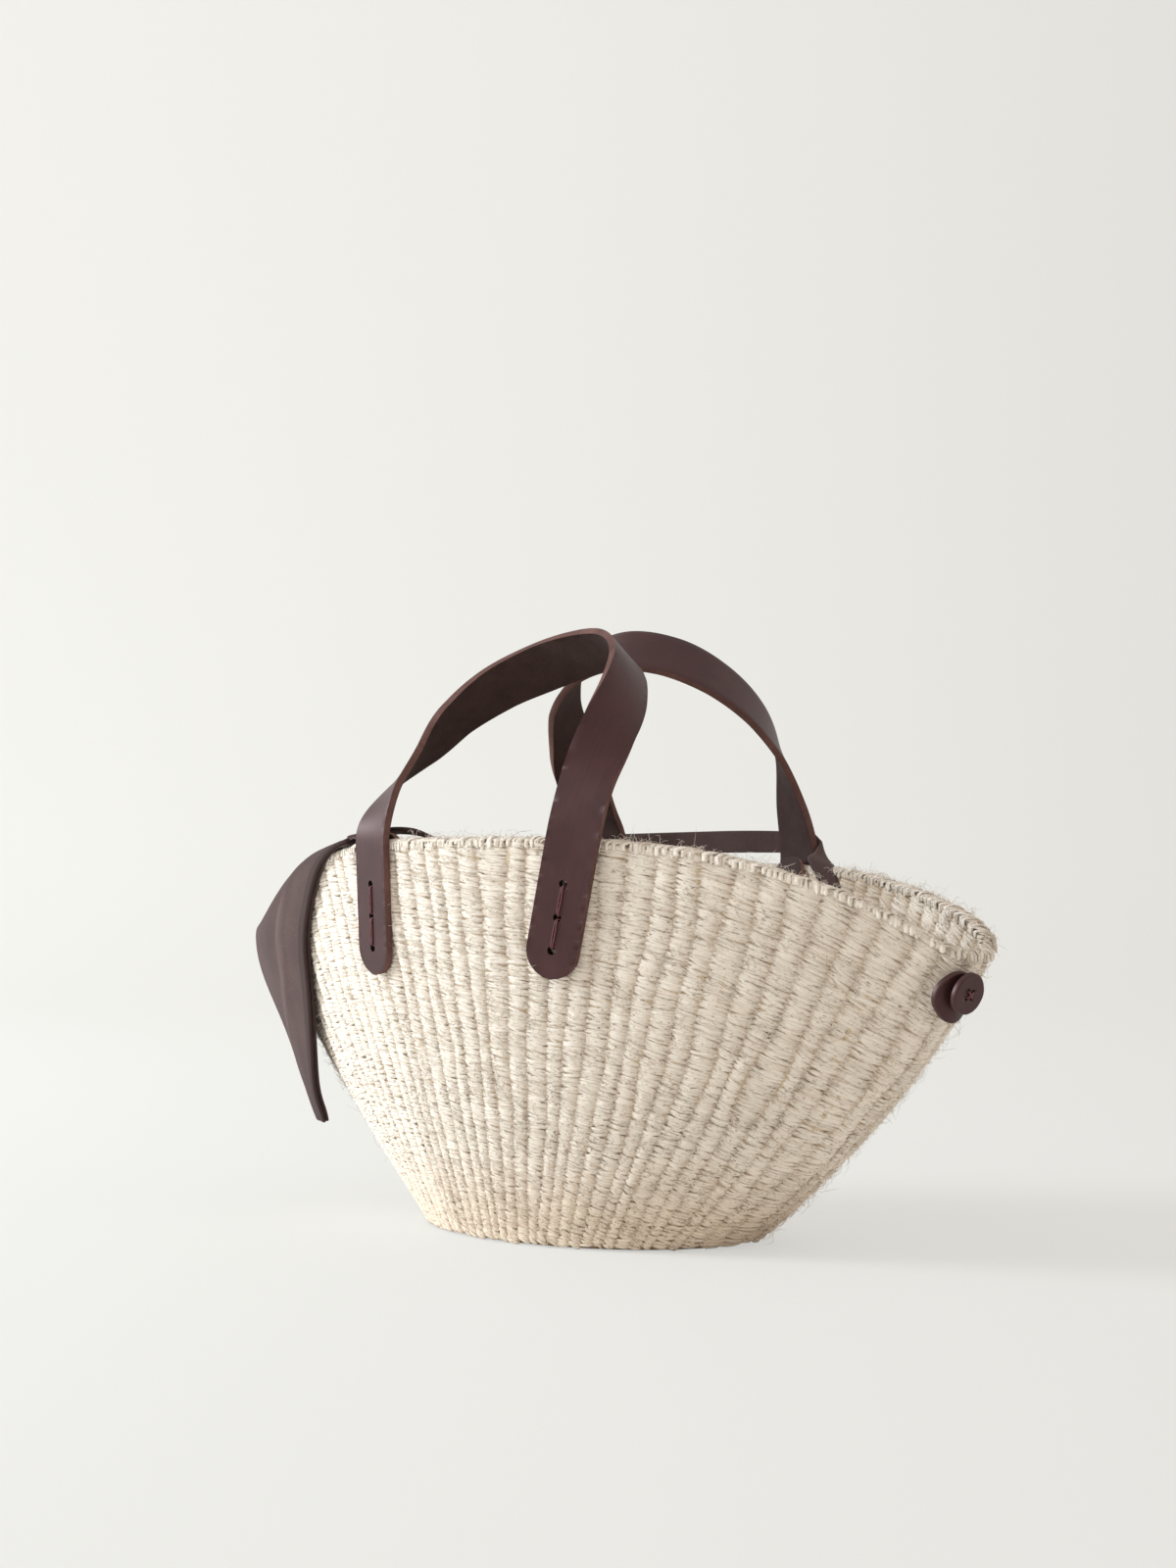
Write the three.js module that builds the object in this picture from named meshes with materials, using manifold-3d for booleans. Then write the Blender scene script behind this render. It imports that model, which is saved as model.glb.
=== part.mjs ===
// Woven basket handbag with two flat leather handles, a leather button and a fabric sash.
// Millimetres. +X runs along the bag to the buttoned end, -Y is the front wall, +Z is up.
// The origin is on the floor under the middle of the base.

import * as THREE from 'three';
import { mergeVertices } from 'three/addons/utils/BufferGeometryUtils.js';
import Module from 'manifold-3d';

const wasm = await Module();
wasm.setup();

// Basket: a flat oval base, flaring walls and a boat-shaped rim that sinks to both ends
const rimHalfLength = 186.5;
const rimHalfWidth = 79.5;
const rimSideHeight = 157.5;
const rimTipHeight = 116;
const backRimDrop = 10.5;
const rimLensPower = 1.51;
const rimEndRoundness = 0.71;
const rimSinkPower = 3.4;
const tipBluntWidth = 20;
const tipBluntSpread = 16;
const sashPressDepth = 4.5;
const sashPressAngle = -150;
const sashPressSpread = 24;
const baseHalfLength = 77.5;
const baseHalfWidth = 54.5;
const endBulge = 12;
const sideBulge = 1.5;
const wallThickness = 5;
const tipWallThickness = 7.5;
const floorThickness = 5;
const rimCrown = 1.2;
const baseCornerInset = 3;
const ribCount = 70;
const ribDepth = 1.2;

// Leather straps: one handle on each side, its ends sewn flat on the outside of the wall
const strapWidth = 21.5;
const strapThickness = 2.8;
const strapEdgeRound = 0.6;
const legSpread = 53.5;
const backRightSpread = 50.5;
const strapEndLength = 54;
const frontLeftLean = 8;
const frontRightLean = 15;
const backLeftLean = -15;
const hingeAboveRim = 3.6;
const hingeGap = 1.1;
const handleStart = 17;
const handleRelease = 3;
const frontHandleRise = 73.2;
const backHandleRise = 85.8;
const handleSteps = 60;

// Middle of each handle from its left leg to its right. A row holds a share of half the span along
// it, of the rise inwards and of the rise upwards, then the turn of its grain side in degrees:
// 0 faces outwards and 90 up and away from the arch.
const frontHandleLine = [
  [-0.92, 0.1, 0.238, 39.6],
  [-0.803, 0.264, 0.446, 66.3],
  [-0.675, 0.428, 0.649, 94.3],
  [-0.446, 0.576, 0.811, 121.4],
  [-0.126, 0.672, 0.917, 136.7],
  [0.237, 0.695, 0.982, 132.4],
  [0.605, 0.65, 0.992, 123.6],
  [0.898, 0.515, 0.89, 115.7],
  [1.066, 0.337, 0.718, 87.4],
  [1.117, 0.161, 0.507, 45.6],
  [1.083, 0.037, 0.26, 16.7],
];
const backHandleLine = [
  [-0.885, 0.153, 0.177, 9.7],
  [-0.786, 0.346, 0.336, 27.5],
  [-0.729, 0.49, 0.547, 73.5],
  [-0.625, 0.618, 0.759, 109],
  [-0.336, 0.706, 0.922, 132.1],
  [0.064, 0.704, 0.998, 137.5],
  [0.446, 0.601, 0.969, 125.6],
  [0.734, 0.449, 0.86, 103.1],
  [0.919, 0.286, 0.695, 77.6],
  [0.997, 0.15, 0.483, 49.8],
  [0.994, 0.057, 0.243, 24.1],
];

// Sewing: three holes down each strap end, a leather patch inside the wall and a thread
const holeRadius = 1.7;
const holePitch = 13;
const firstHoleDepth = 17;
const threadRadius = 0.8;
const threadPassRadius = 0.72;
const threadClearance = 0.3;
const wallHoleRadius = 1.3;
const patchWidth = 18;
const patchThickness = 1.8;
const patchRise = 2.5;
const patchTail = 9;

// Button at the right end: a bent leather disc, a leather button and the thread between them
const buttonAngle = -7;
const buttonLevel = 0.89;
const buttonTilt = 10;
const buttonTurn = 26;
const discRadius = 9.6;
const discThickness = 2.2;
const discBendRadius = 17;
const discDrop = 2.7;
const buttonRadius = 7.7;
const buttonThickness = 2.4;
const buttonStandoff = 1.9;
const buttonEdgeRound = 0.6;
const shankRadius = 1.3;
const shankHoleRadius = 1.7;
const knotRadius = 3;
const stitchSpan = 2.6;
const stitchRadius = 0.7;

// Sash: a doubled strip of fabric behind the back handle, over the left end and hanging there
const sashThickness = 2;
const sashEdgeThickness = 3.2;
const sashBandWidth = 9;
const bandAboveHinge = 2.2;
const bandSideReach = 5.5;
const bandMiddleLift = 0.6;
const sashSlack = 0.3;
const sashFall = 0.5;
const foldStartAngle = -114;
const foldFrontAngle = -136;
const foldEndAngle = -160;
const foldInsideDepth = 9;
const foldFrontDepth = 2.5;
const foldRimLift = 0.6;
const foldLiftRun = 12;
const foldFreeFrom = 0.75;
const foldShoulders = [0.75, 0.5];
const foldShoulderPull = 0.1;
const rimCornerSpread = 1.6;
const tailTop = 117;
const tailGap = 0.5;
const tailSlack = 0.4;
const tailTopEdgeShare = 0.62;
const tailTipThickness = 5;
const tailTipFrom = 0.6;
const tailCreaseBulge = 4;

// Edges of the tail from its top to its tip, as shares of rimHalfLength, rimHalfWidth and tailTop
const tailFrontEdge = [
  [-0.6756, -0.5535, 1],
  [-0.6836, -0.4906, 0.8376],
  [-0.7105, -0.4088, 0.6325],
  [-0.7292, -0.3396, 0.4274],
  [-0.7346, -0.2767, 0.2991],
];
const tailBackEdge = [
  [-1.0885, -0.0503, 1],
  [-1.059, -0.0755, 0.8547],
  [-0.9437, -0.1258, 0.6496],
  [-0.8311, -0.1761, 0.4274],
  [-0.7614, -0.2264, 0.2991],
];

// Clearance kept wherever two pieces touch
const seatGap = 0.3;

const DEG = Math.PI / 180;
const vec = (x, y, z) => new THREE.Vector3(x, y, z);
const smooth = (t) => {
  const k = Math.min(Math.max(t, 0), 1);
  return k * k * (3 - 2 * k);
};
const mix = (a, b, t) => a + (b - a) * t;

// Materials
const leather = new THREE.MeshStandardMaterial({ color: 0x4a3431, roughness: 0.5, metalness: 0 });
const leatherInside = new THREE.MeshStandardMaterial({ color: 0x5f443c, roughness: 0.85, metalness: 0 });
const fibre = new THREE.MeshStandardMaterial({ color: 0xe6dcc8, roughness: 0.95, metalness: 0 });
const fabric = new THREE.MeshStandardMaterial({ color: 0x4a3d3b, roughness: 0.95, metalness: 0 });
const thread = new THREE.MeshStandardMaterial({ color: 0x5a2c2e, roughness: 0.8, metalness: 0 });

// Solids from rings of points. Point i of a ring faces point n-1-i across it, so that an end
// ring closes as a strip of faces.
function ringSolid(rings, startPole, endPole) {
  const count = rings[0].length;
  const points = rings.flat();
  const faces = [];
  const quad = (a, b, c, d) => faces.push(a, b, c, a, c, d);
  for (let r = 0; r + 1 < rings.length; r++) {
    for (let i = 0; i < count; i++) {
      const j = (i + 1) % count;
      quad(r * count + i, r * count + j, (r + 1) * count + j, (r + 1) * count + i);
    }
  }
  const close = (first, pole, flip) => {
    if (pole) {
      points.push(pole);
      for (let i = 0; i < count; i++) {
        const j = (i + 1) % count;
        const tri = [points.length - 1, first + j, first + i];
        faces.push(...(flip ? tri.reverse() : tri));
      }
      return;
    }
    for (let i = 0; i + 1 < count / 2; i++) {
      const strip = [first + i, first + count - 1 - i, first + count - 2 - i, first + i + 1];
      quad(...(flip ? strip.reverse() : strip));
    }
  };
  close(0, startPole, false);
  close((rings.length - 1) * count, endPole, true);
  return solidGeometry(points, faces);
}

function solidGeometry(points, faces) {
  let volume = 0;
  for (let i = 0; i < faces.length; i += 3) {
    const [a, b, c] = [points[faces[i]], points[faces[i + 1]], points[faces[i + 2]]];
    volume += a.dot(b.clone().cross(c));
  }
  const index = volume > 0 ? faces : faces.slice().reverse();
  const geometry = new THREE.BufferGeometry().setFromPoints(points);
  geometry.setIndex(index);
  geometry.computeVertexNormals();
  return geometry;
}

// A sheet of even thickness around a grid of points
function sheetSolid(grid, thickness) {
  const rows = grid.length;
  const cols = grid[0].length;
  const rings = grid.map((row, r) => {
    const normals = row.map((point, c) => {
      const along = grid[Math.min(r + 1, rows - 1)][c].clone().sub(grid[Math.max(r - 1, 0)][c]);
      const across = row[Math.min(c + 1, cols - 1)].clone().sub(row[Math.max(c - 1, 0)]);
      return across.cross(along).normalize();
    });
    const half = (c) => (typeof thickness === 'function' ? thickness(r, c) : thickness) / 2;
    const top = row.map((point, c) => point.clone().addScaledVector(normals[c], half(c)));
    const bottom = row.map((point, c) => point.clone().addScaledVector(normals[c], -half(c)));
    return [...top, ...bottom.reverse()];
  });
  return ringSolid(rings);
}

// Joining and cutting
function toSolid(geometry) {
  const plain = geometry.clone();
  plain.deleteAttribute('normal');
  plain.deleteAttribute('uv');
  const merged = mergeVertices(plain, 1e-4);
  return new wasm.Manifold(new wasm.Mesh({
    numProp: 3,
    vertProperties: new Float32Array(merged.attributes.position.array),
    triVerts: new Uint32Array(merged.index.array),
  }));
}

function fromSolid(solid) {
  const data = solid.getMesh();
  const geometry = new THREE.BufferGeometry();
  geometry.setAttribute('position', new THREE.BufferAttribute(new Float32Array(data.vertProperties), 3));
  geometry.setIndex(new THREE.BufferAttribute(new Uint32Array(data.triVerts), 1));
  geometry.computeVertexNormals();
  return geometry;
}

// Basket shape: level 0 is the floor edge, level 1 the rim; angle 0 points to +X and -90 to the front
const crestShell = {
  rimLength: rimHalfLength, rimWidth: rimHalfWidth, baseLength: baseHalfLength, baseWidth: baseHalfWidth,
};
const liningShell = {
  rimLength: rimHalfLength - tipWallThickness,
  rimWidth: rimHalfWidth - wallThickness,
  baseLength: baseHalfLength - wallThickness,
  baseWidth: baseHalfWidth - wallThickness,
};

function rimHeight(angle) {
  const lift = 1 - Math.abs(Math.cos(angle)) ** rimSinkPower;
  const turn = Math.atan2(Math.sin(angle - sashPressAngle * DEG), Math.cos(angle - sashPressAngle * DEG));
  const pressed = sashPressDepth * Math.exp(-((turn / DEG / sashPressSpread) ** 2));
  const sunk = backRimDrop * Math.max(Math.sin(angle), 0) + pressed;
  return rimTipHeight + (rimSideHeight - rimTipHeight) * lift - sunk;
}

function wallPoint(angle, level, shell = crestShell) {
  const c = Math.cos(angle);
  const s = Math.sin(angle);
  const lens = Math.sign(s) * Math.max(1 - Math.abs(c) ** rimLensPower, 0) ** rimEndRoundness;
  const fromTip = Math.asin(Math.abs(s)) / DEG / tipBluntSpread;
  const blunt = Math.sign(s) * tipBluntWidth * Math.sqrt(Math.abs(s)) * Math.exp(-fromTip * fromTip);
  const bulge = 4 * level * (1 - level);
  return vec(
    mix(shell.baseLength, shell.rimLength, level) * c + bulge * endBulge * c,
    mix(shell.baseWidth * s, shell.rimWidth * lens + blunt, level) + bulge * sideBulge * s,
    rimHeight(angle) * level,
  );
}

function wallFrame(angle, level, leanDegrees = 0) {
  const step = 0.004;
  const origin = wallPoint(angle, level);
  const along = wallPoint(angle + step, level).sub(wallPoint(angle - step, level));
  const rise = wallPoint(angle, level + step).sub(wallPoint(angle, level - step));
  const out = along.clone().cross(rise).normalize();
  const across = vec(along.x, along.y, 0).projectOnPlane(out).normalize();
  const up = out.clone().cross(across).normalize();
  across.applyAxisAngle(out, -leanDegrees * DEG);
  up.applyAxisAngle(out, -leanDegrees * DEG);
  return { origin, across, up, out };
}

// Angles that space the ribs evenly round the rim
const ribAngles = (() => {
  const fine = 1440;
  const lengths = [0];
  for (let i = 1; i <= fine; i++) {
    const a = wallPoint((i - 1) / fine * 2 * Math.PI, 1);
    const b = wallPoint(i / fine * 2 * Math.PI, 1);
    lengths.push(lengths[i - 1] + Math.hypot(a.x - b.x, a.y - b.y));
  }
  const columns = 2 * ribCount;
  const angles = [];
  let i = 0;
  for (let k = 0; k < columns; k++) {
    const target = k / columns * lengths[fine];
    while (lengths[i + 1] < target) i++;
    const part = (target - lengths[i]) / (lengths[i + 1] - lengths[i]);
    angles.push((i + part) / fine * 2 * Math.PI);
  }
  return angles;
})();

function basketSolid() {
  const outerLevels = [0.015, 0.12, 0.26, 0.4, 0.54, 0.68, 0.82, 0.93, 1];
  const innerLevels = [1, 0.85, 0.66, 0.45, 0.24, 0];
  const ring = (point) => ribAngles.map(point);
  const scaledBase = (share, height) => ring((angle) => {
    const p = wallPoint(angle, 0);
    return vec(p.x * share, p.y * share, height);
  });
  const ribbed = (level) => ring((angle, i) => {
    const { origin, out } = wallFrame(angle, Math.min(Math.max(level, 0.01), 0.99));
    const valley = i % 2 ? ribDepth : 0;
    return wallPoint(angle, level).sub(vec(out.x, out.y, 0).normalize().multiplyScalar(valley));
  });
  const inner = (level) => ring((angle) => {
    const height = mix(floorThickness, rimHeight(angle), level);
    const p = wallPoint(angle, height / rimHeight(angle), liningShell);
    return vec(p.x, p.y, height);
  });
  const crown = ring((angle) => {
    const outer = wallPoint(angle, 1);
    return outer.lerp(wallPoint(angle, 1, liningShell), 0.5).add(vec(0, 0, rimCrown));
  });
  const footShare = 1 - baseCornerInset / baseHalfWidth;
  const rings = [
    scaledBase(footShare / 2, 0),
    scaledBase(footShare, 0),
    ...outerLevels.map(ribbed),
    crown,
    ...innerLevels.map(inner),
    inner(0).map((p) => vec(p.x / 2, p.y / 2, floorThickness)),
  ];
  return ringSolid(rings, vec(0, 0, 0), vec(0, 0, floorThickness));
}

// Sewing places: a flat frame on the wall under each strap end
const legs = [
  { name: 'front_strap_end_left', side: -1, x: -legSpread, lean: frontLeftLean },
  { name: 'front_strap_end_right', side: -1, x: legSpread, lean: frontRightLean },
  { name: 'back_strap_end_left', side: 1, x: -legSpread, lean: backLeftLean },
  { name: 'back_strap_end_right', side: 1, x: backRightSpread, lean: 0 },
].map((leg) => {
  const angle = leg.side * Math.acos(leg.x / rimHalfLength);
  const { origin: rim } = wallFrame(angle, 1);
  const frame = wallFrame(angle, 1 - strapEndLength / 2 / rimSideHeight, leg.lean);
  const origin = rim.sub(frame.out.clone().multiplyScalar(rim.clone().sub(frame.origin).dot(frame.out)));
  const placed = { ...leg, ...frame, angle, origin };
  const covers = (u, v) => Math.abs(u) < strapWidth / 2 + 1 && v > -strapEndLength - 1;
  placed.seat = wallReach(placed, covers, crestShell, Math.max) + seatGap;
  placed.lining = wallReach(placed, covers, liningShell, Math.min) - seatGap;
  return placed;
});

// How far the wall stands out from a frame, over the area that a piece on it covers
function wallReach(frame, covers, shell, pick, bendRadius = Infinity) {
  let reach = null;
  for (let i = -14; i <= 14; i++) {
    for (let level = 0.55; level <= 1.001; level += 0.025) {
      const p = wallPoint(frame.angle + i * 0.012, level, shell).sub(frame.origin);
      const [u, v] = [p.dot(frame.across), p.dot(frame.up)];
      const height = p.dot(frame.out) + u * u / 2 / bendRadius;
      if (covers(u, v)) reach = reach === null ? height : pick(reach, height);
    }
  }
  return reach;
}

function placeOnFrame(mesh, frame, height) {
  mesh.quaternion.setFromRotationMatrix(new THREE.Matrix4().makeBasis(frame.across, frame.up, frame.out));
  mesh.position.copy(frame.origin).addScaledVector(frame.out, height);
  return mesh;
}

const holeDepths = [0, 1, 2].map((k) => firstHoleDepth + k * holePitch);

// A strip with a round lower end; its upper end is round too, or cut straight between two heights
function stripShape(width, top, bottom, holes) {
  const radius = width / 2;
  const shape = new THREE.Shape();
  const straight = Array.isArray(top);
  const [topLeft, topRight] = straight ? top : [top - radius, top - radius];
  shape.moveTo(-radius, topLeft);
  shape.lineTo(-radius, bottom + radius);
  shape.absarc(0, bottom + radius, radius, Math.PI, 2 * Math.PI, false);
  shape.lineTo(radius, topRight);
  if (!straight) shape.absarc(0, topRight, radius, 0, Math.PI, false);
  shape.closePath();
  for (const depth of holes) {
    const hole = new THREE.Path();
    hole.absarc(0, -depth, holeRadius, 0, 2 * Math.PI, true);
    shape.holes.push(hole);
  }
  return shape;
}

// Strap ends and patches
function strapEnd(leg) {
  const slope = leg.across.z / leg.up.z;
  const middle = hingeAboveRim - strapThickness / 2 - hingeGap;
  const top = [1, -1].map((sign) => middle + sign * slope * strapWidth / 2);
  const shape = stripShape(strapWidth, top, -strapEndLength, holeDepths);
  const geometry = new THREE.ExtrudeGeometry(shape, {
    depth: strapThickness, bevelEnabled: false, curveSegments: 8,
  });
  const mesh = placeOnFrame(new THREE.Mesh(geometry, leather), leg, leg.seat);
  mesh.name = leg.name;
  return mesh;
}

function innerPatch(leg) {
  const bottom = -(firstHoleDepth + 2 * holePitch + patchTail);
  const shape = stripShape(patchWidth, patchRise, bottom, holeDepths);
  const geometry = new THREE.ExtrudeGeometry(shape, {
    depth: patchThickness, bevelEnabled: false, curveSegments: 8,
  });
  const mesh = placeOnFrame(new THREE.Mesh(geometry, leatherInside), leg, leg.lining - patchThickness);
  mesh.name = leg.name.replace('strap_end', 'patch');
  return mesh;
}

// Round bar between two points, for threads and the holes that they pass
function bar(from, to, radius, sides = 8) {
  const axis = to.clone().sub(from);
  const geometry = new THREE.CylinderGeometry(radius, radius, axis.length(), sides);
  const turn = new THREE.Quaternion().setFromUnitVectors(vec(0, 1, 0), axis.clone().normalize());
  geometry.applyQuaternion(turn);
  const middle = from.clone().lerp(to, 0.5);
  return geometry.translate(middle.x, middle.y, middle.z);
}

function joined(parts) {
  return fromSolid(parts.map(toSolid).reduce((whole, part) => whole.add(part)));
}

function lacing(leg) {
  const outside = leg.seat + strapThickness + threadClearance + threadRadius;
  const inside = leg.lining - patchThickness - threadClearance - threadRadius;
  const ends = [-holeDepths[0] + threadRadius / 2, -holeDepths[2] - threadRadius / 2];
  const runs = [outside, inside].map((z) => bar(vec(0, ends[0], z), vec(0, ends[1], z), threadRadius));
  const passes = holeDepths.map((depth) => (
    bar(vec(0, -depth, outside), vec(0, -depth, inside), threadPassRadius)
  ));
  const mesh = placeOnFrame(new THREE.Mesh(joined([...runs, ...passes]), thread), leg, 0);
  mesh.name = leg.name.replace('strap_end', 'lacing');
  return mesh;
}

function wallHoles(leg) {
  const reach = wallThickness * 2;
  return holeDepths.map((depth) => {
    const centre = leg.origin.clone().addScaledVector(leg.up, -depth);
    const from = centre.clone().addScaledVector(leg.out, reach);
    const to = centre.clone().addScaledVector(leg.out, -reach);
    return bar(from, to, wallHoleRadius, 6);
  });
}

// Handles: each strap leaves its sewn end in the end's own plane, then bends and twists round the arch
function strapMiddle(leg, height) {
  const point = leg.origin.clone().addScaledVector(leg.up, height);
  return point.addScaledVector(leg.out, leg.seat + strapThickness / 2);
}

function handleHinge(side) {
  const pair = legs.filter((leg) => leg.side === side).map((leg) => strapMiddle(leg, hingeAboveRim));
  const y = side * Math.max(...pair.map((p) => Math.abs(p.y)));
  const z = Math.max(...pair.map((p) => p.z));
  return { left: pair[0].x, right: pair[1].x, y, z };
}

// A smooth value through rows of numbers, t from 0 to 1
function splineAt(rows, t) {
  const spans = rows.length - 1;
  const k = Math.min(Math.floor(t * spans), spans - 1);
  const f = t * spans - k;
  const row = (i) => {
    if (i < 0) return rows[0].map((v, c) => 2 * v - rows[1][c]);
    if (i > spans) return rows[spans].map((v, c) => 2 * v - rows[spans - 1][c]);
    return rows[i];
  };
  const [a, b, c, d] = [row(k - 1), row(k), row(k + 1), row(k + 2)];
  return b.map((v, i) => {
    const bend = 2 * a[i] - 5 * v + 4 * c[i] - d[i];
    const twist = 3 * v - a[i] - 3 * c[i] + d[i];
    return v + 0.5 * (f * (c[i] - a[i]) + f * f * bend + f * f * f * twist);
  });
}

// Directions across the strap's run: outwards from the bag, and up and away from the arch
function strapSides(side, along) {
  const outward = vec(0, side, 0).projectOnPlane(along).normalize();
  const above = outward.clone().cross(along).multiplyScalar(-side).normalize();
  return { outward, above };
}

function handleStations(side) {
  const hinge = handleHinge(side);
  const [line, rise] = side < 0 ? [frontHandleLine, frontHandleRise] : [backHandleLine, backHandleRise];
  const middle = (hinge.left + hinge.right) / 2;
  const half = (hinge.right - hinge.left) / 2;
  const [left, right] = legs.filter((leg) => leg.side === side);
  const endRow = (leg, height) => {
    const { outward, above } = strapSides(side, leg === left ? leg.up : leg.up.clone().negate());
    const turn = Math.atan2(leg.out.dot(above), leg.out.dot(outward)) / DEG;
    return [...strapMiddle(leg, height).toArray(), turn];
  };
  const rows = [
    endRow(left, -handleStart),
    endRow(left, handleRelease),
    ...line.map(([x, inward, up, turn]) => (
      [middle + x * half, hinge.y - side * inward * rise, hinge.z + up * rise, turn]
    )),
    endRow(right, handleRelease),
    endRow(right, -handleStart),
  ];
  const places = Array.from({ length: handleSteps + 1 }, (_, i) => splineAt(rows, i / handleSteps));
  const centres = places.map(([x, y, z]) => vec(x, y, z));
  return centres.map((centre, i) => {
    const before = centres[Math.max(i - 1, 0)];
    const after = centres[Math.min(i + 1, handleSteps)];
    const along = after.clone().sub(before).normalize();
    const { outward, above } = strapSides(side, along);
    const turn = places[i][3] * DEG;
    const face = outward.multiplyScalar(Math.cos(turn)).addScaledVector(above, Math.sin(turn));
    return { centre, face, across: along.clone().cross(face).normalize() };
  });
}

function strapRing({ centre, face, across }) {
  const [w, t, e] = [strapWidth / 2, strapThickness / 2, strapEdgeRound];
  const outline = [
    [e - w, t], [w - e, t], [w, t - e], [w, e - t],
    [w - e, -t], [e - w, -t], [-w, e - t], [-w, t - e],
  ];
  return outline.map(([u, v]) => centre.clone().addScaledVector(across, u).addScaledVector(face, v));
}

function handleCut(side) {
  return handleHinge(side).z - strapThickness / 2;
}

function handle(side, name) {
  const strap = toSolid(ringSolid(handleStations(side).map(strapRing)));
  const mesh = new THREE.Mesh(fromSolid(strap.trimByPlane([0, 0, 1], handleCut(side))), leather);
  mesh.name = name;
  return mesh;
}

// Button at the right end: its frame is the wall's, tilted up and turned to face along the bag
const buttonFrame = (() => {
  const frame = { angle: buttonAngle * DEG, ...wallFrame(buttonAngle * DEG, buttonLevel) };
  frame.out.applyAxisAngle(frame.across, -buttonTilt * DEG);
  frame.up.applyAxisAngle(frame.across, -buttonTilt * DEG);
  for (const direction of [frame.across, frame.up, frame.out]) {
    direction.applyAxisAngle(vec(0, 0, 1), buttonTurn * DEG);
  }
  return frame;
})();
const underDisc = (u, v) => Math.hypot(u, v + discDrop) < discRadius + 1;
const discSeat = wallReach(buttonFrame, underDisc, crestShell, Math.max, discBendRadius) + seatGap;
const discTop = discSeat + discThickness;
const buttonBase = discTop + buttonStandoff;

function lathed(profile, segments) {
  const geometry = new THREE.LatheGeometry(profile.map(([r, h]) => new THREE.Vector2(r, h)), segments);
  return geometry.rotateX(Math.PI / 2);
}

function drilled(geometry, holes) {
  return fromSolid(holes.map(toSolid).reduce((whole, hole) => whole.subtract(hole), toSolid(geometry)));
}

function buttonDisc() {
  const rings = [0.45, 0.8, 1].map((share) => share * discRadius);
  const profile = [
    [0, 0],
    ...rings.map((r) => [r, 0]),
    ...rings.reverse().map((r) => [r, discThickness]),
    [0, discThickness],
  ];
  const whole = lathed(profile, 28).translate(0, -discDrop, 0);
  const geometry = drilled(whole, [bar(vec(0, 0, -5), vec(0, 0, 9), shankHoleRadius, 10)]);
  const position = geometry.attributes.position;
  for (let i = 0; i < position.count; i++) {
    position.setZ(i, position.getZ(i) - position.getX(i) ** 2 / 2 / discBendRadius);
  }
  geometry.computeVertexNormals();
  const mesh = placeOnFrame(new THREE.Mesh(geometry, leather), buttonFrame, discSeat);
  mesh.name = 'button_disc';
  return mesh;
}

const stitchCorners = [[1, 1], [-1, 1], [-1, -1], [1, -1]].map(([x, y]) => (
  [x * stitchSpan / 2, y * stitchSpan / 2]
));

function button() {
  const e = buttonEdgeRound;
  const [r, t] = [buttonRadius, buttonThickness];
  const profile = [[0, 0], [r - e, 0], [r, e], [r, t - e], [r - e, t], [r - 2 * e, t], [0, t]];
  const holes = stitchCorners.map(([x, y]) => (
    bar(vec(x, y, -1), vec(x, y, t + 1), stitchRadius + seatGap)
  ));
  const pierced = drilled(lathed(profile, 28), holes);
  const mesh = placeOnFrame(new THREE.Mesh(pierced, leather), buttonFrame, buttonBase);
  mesh.name = 'button';
  return mesh;
}

function buttonStitches() {
  const face = buttonThickness + threadClearance + stitchRadius;
  const back = -threadClearance - stitchRadius;
  const bars = stitchCorners.map(([x, y]) => bar(vec(x, y, back), vec(x, y, face), stitchRadius, 6));
  for (const z of [face, back]) {
    for (const [a, b] of [[0, 2], [1, 3]]) {
      bars.push(bar(vec(...stitchCorners[a], z), vec(...stitchCorners[b], z), stitchRadius, 6));
    }
  }
  const mesh = placeOnFrame(new THREE.Mesh(joined(bars), thread), buttonFrame, buttonBase);
  mesh.name = 'button_stitches';
  return mesh;
}

function buttonShank() {
  const top = buttonBase - 2 * threadClearance - 2 * stitchRadius;
  const knotDepth = -(tipWallThickness + seatGap + knotRadius + ribDepth);
  const stem = bar(vec(0, 0, knotDepth), vec(0, 0, top), shankRadius);
  const knot = new THREE.SphereGeometry(knotRadius, 12, 8).translate(0, 0, knotDepth);
  const mesh = placeOnFrame(new THREE.Mesh(joined([stem, knot]), thread), buttonFrame, 0);
  mesh.name = 'button_shank';
  return mesh;
}

function shankHole() {
  const reach = 4 * wallThickness;
  const from = buttonFrame.origin.clone().addScaledVector(buttonFrame.out, reach);
  const to = buttonFrame.origin.clone().addScaledVector(buttonFrame.out, -reach);
  return bar(from, to, shankHoleRadius, 8);
}

// Sash over the left end: it crosses the rim, its front edge slanting down the outside of the wall
const sashLift = seatGap + sashThickness / 2 + sashSlack;
const edgeCurve = (rows) => {
  const points = rows.map(([x, y, z]) => vec(x * rimHalfLength, y * rimHalfWidth, z * tailTop));
  return new THREE.CatmullRomCurve3(points, false, 'centripetal');
};
const frontEdge = edgeCurve(tailFrontEdge);
const backEdge = edgeCurve(tailBackEdge);
const tailAcross = backEdge.getPoint(0).sub(frontEdge.getPoint(0)).normalize();
const tailOut = vec(-tailAcross.y, tailAcross.x, 0);

function offWall(angle, drop, lift, shell) {
  const level = Math.min(1 - drop / rimHeight(angle), 0.995);
  const { out } = wallFrame(angle, level);
  const point = wallPoint(angle, level, shell);
  return point.addScaledVector(out, shell === liningShell ? -lift : lift);
}

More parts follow.
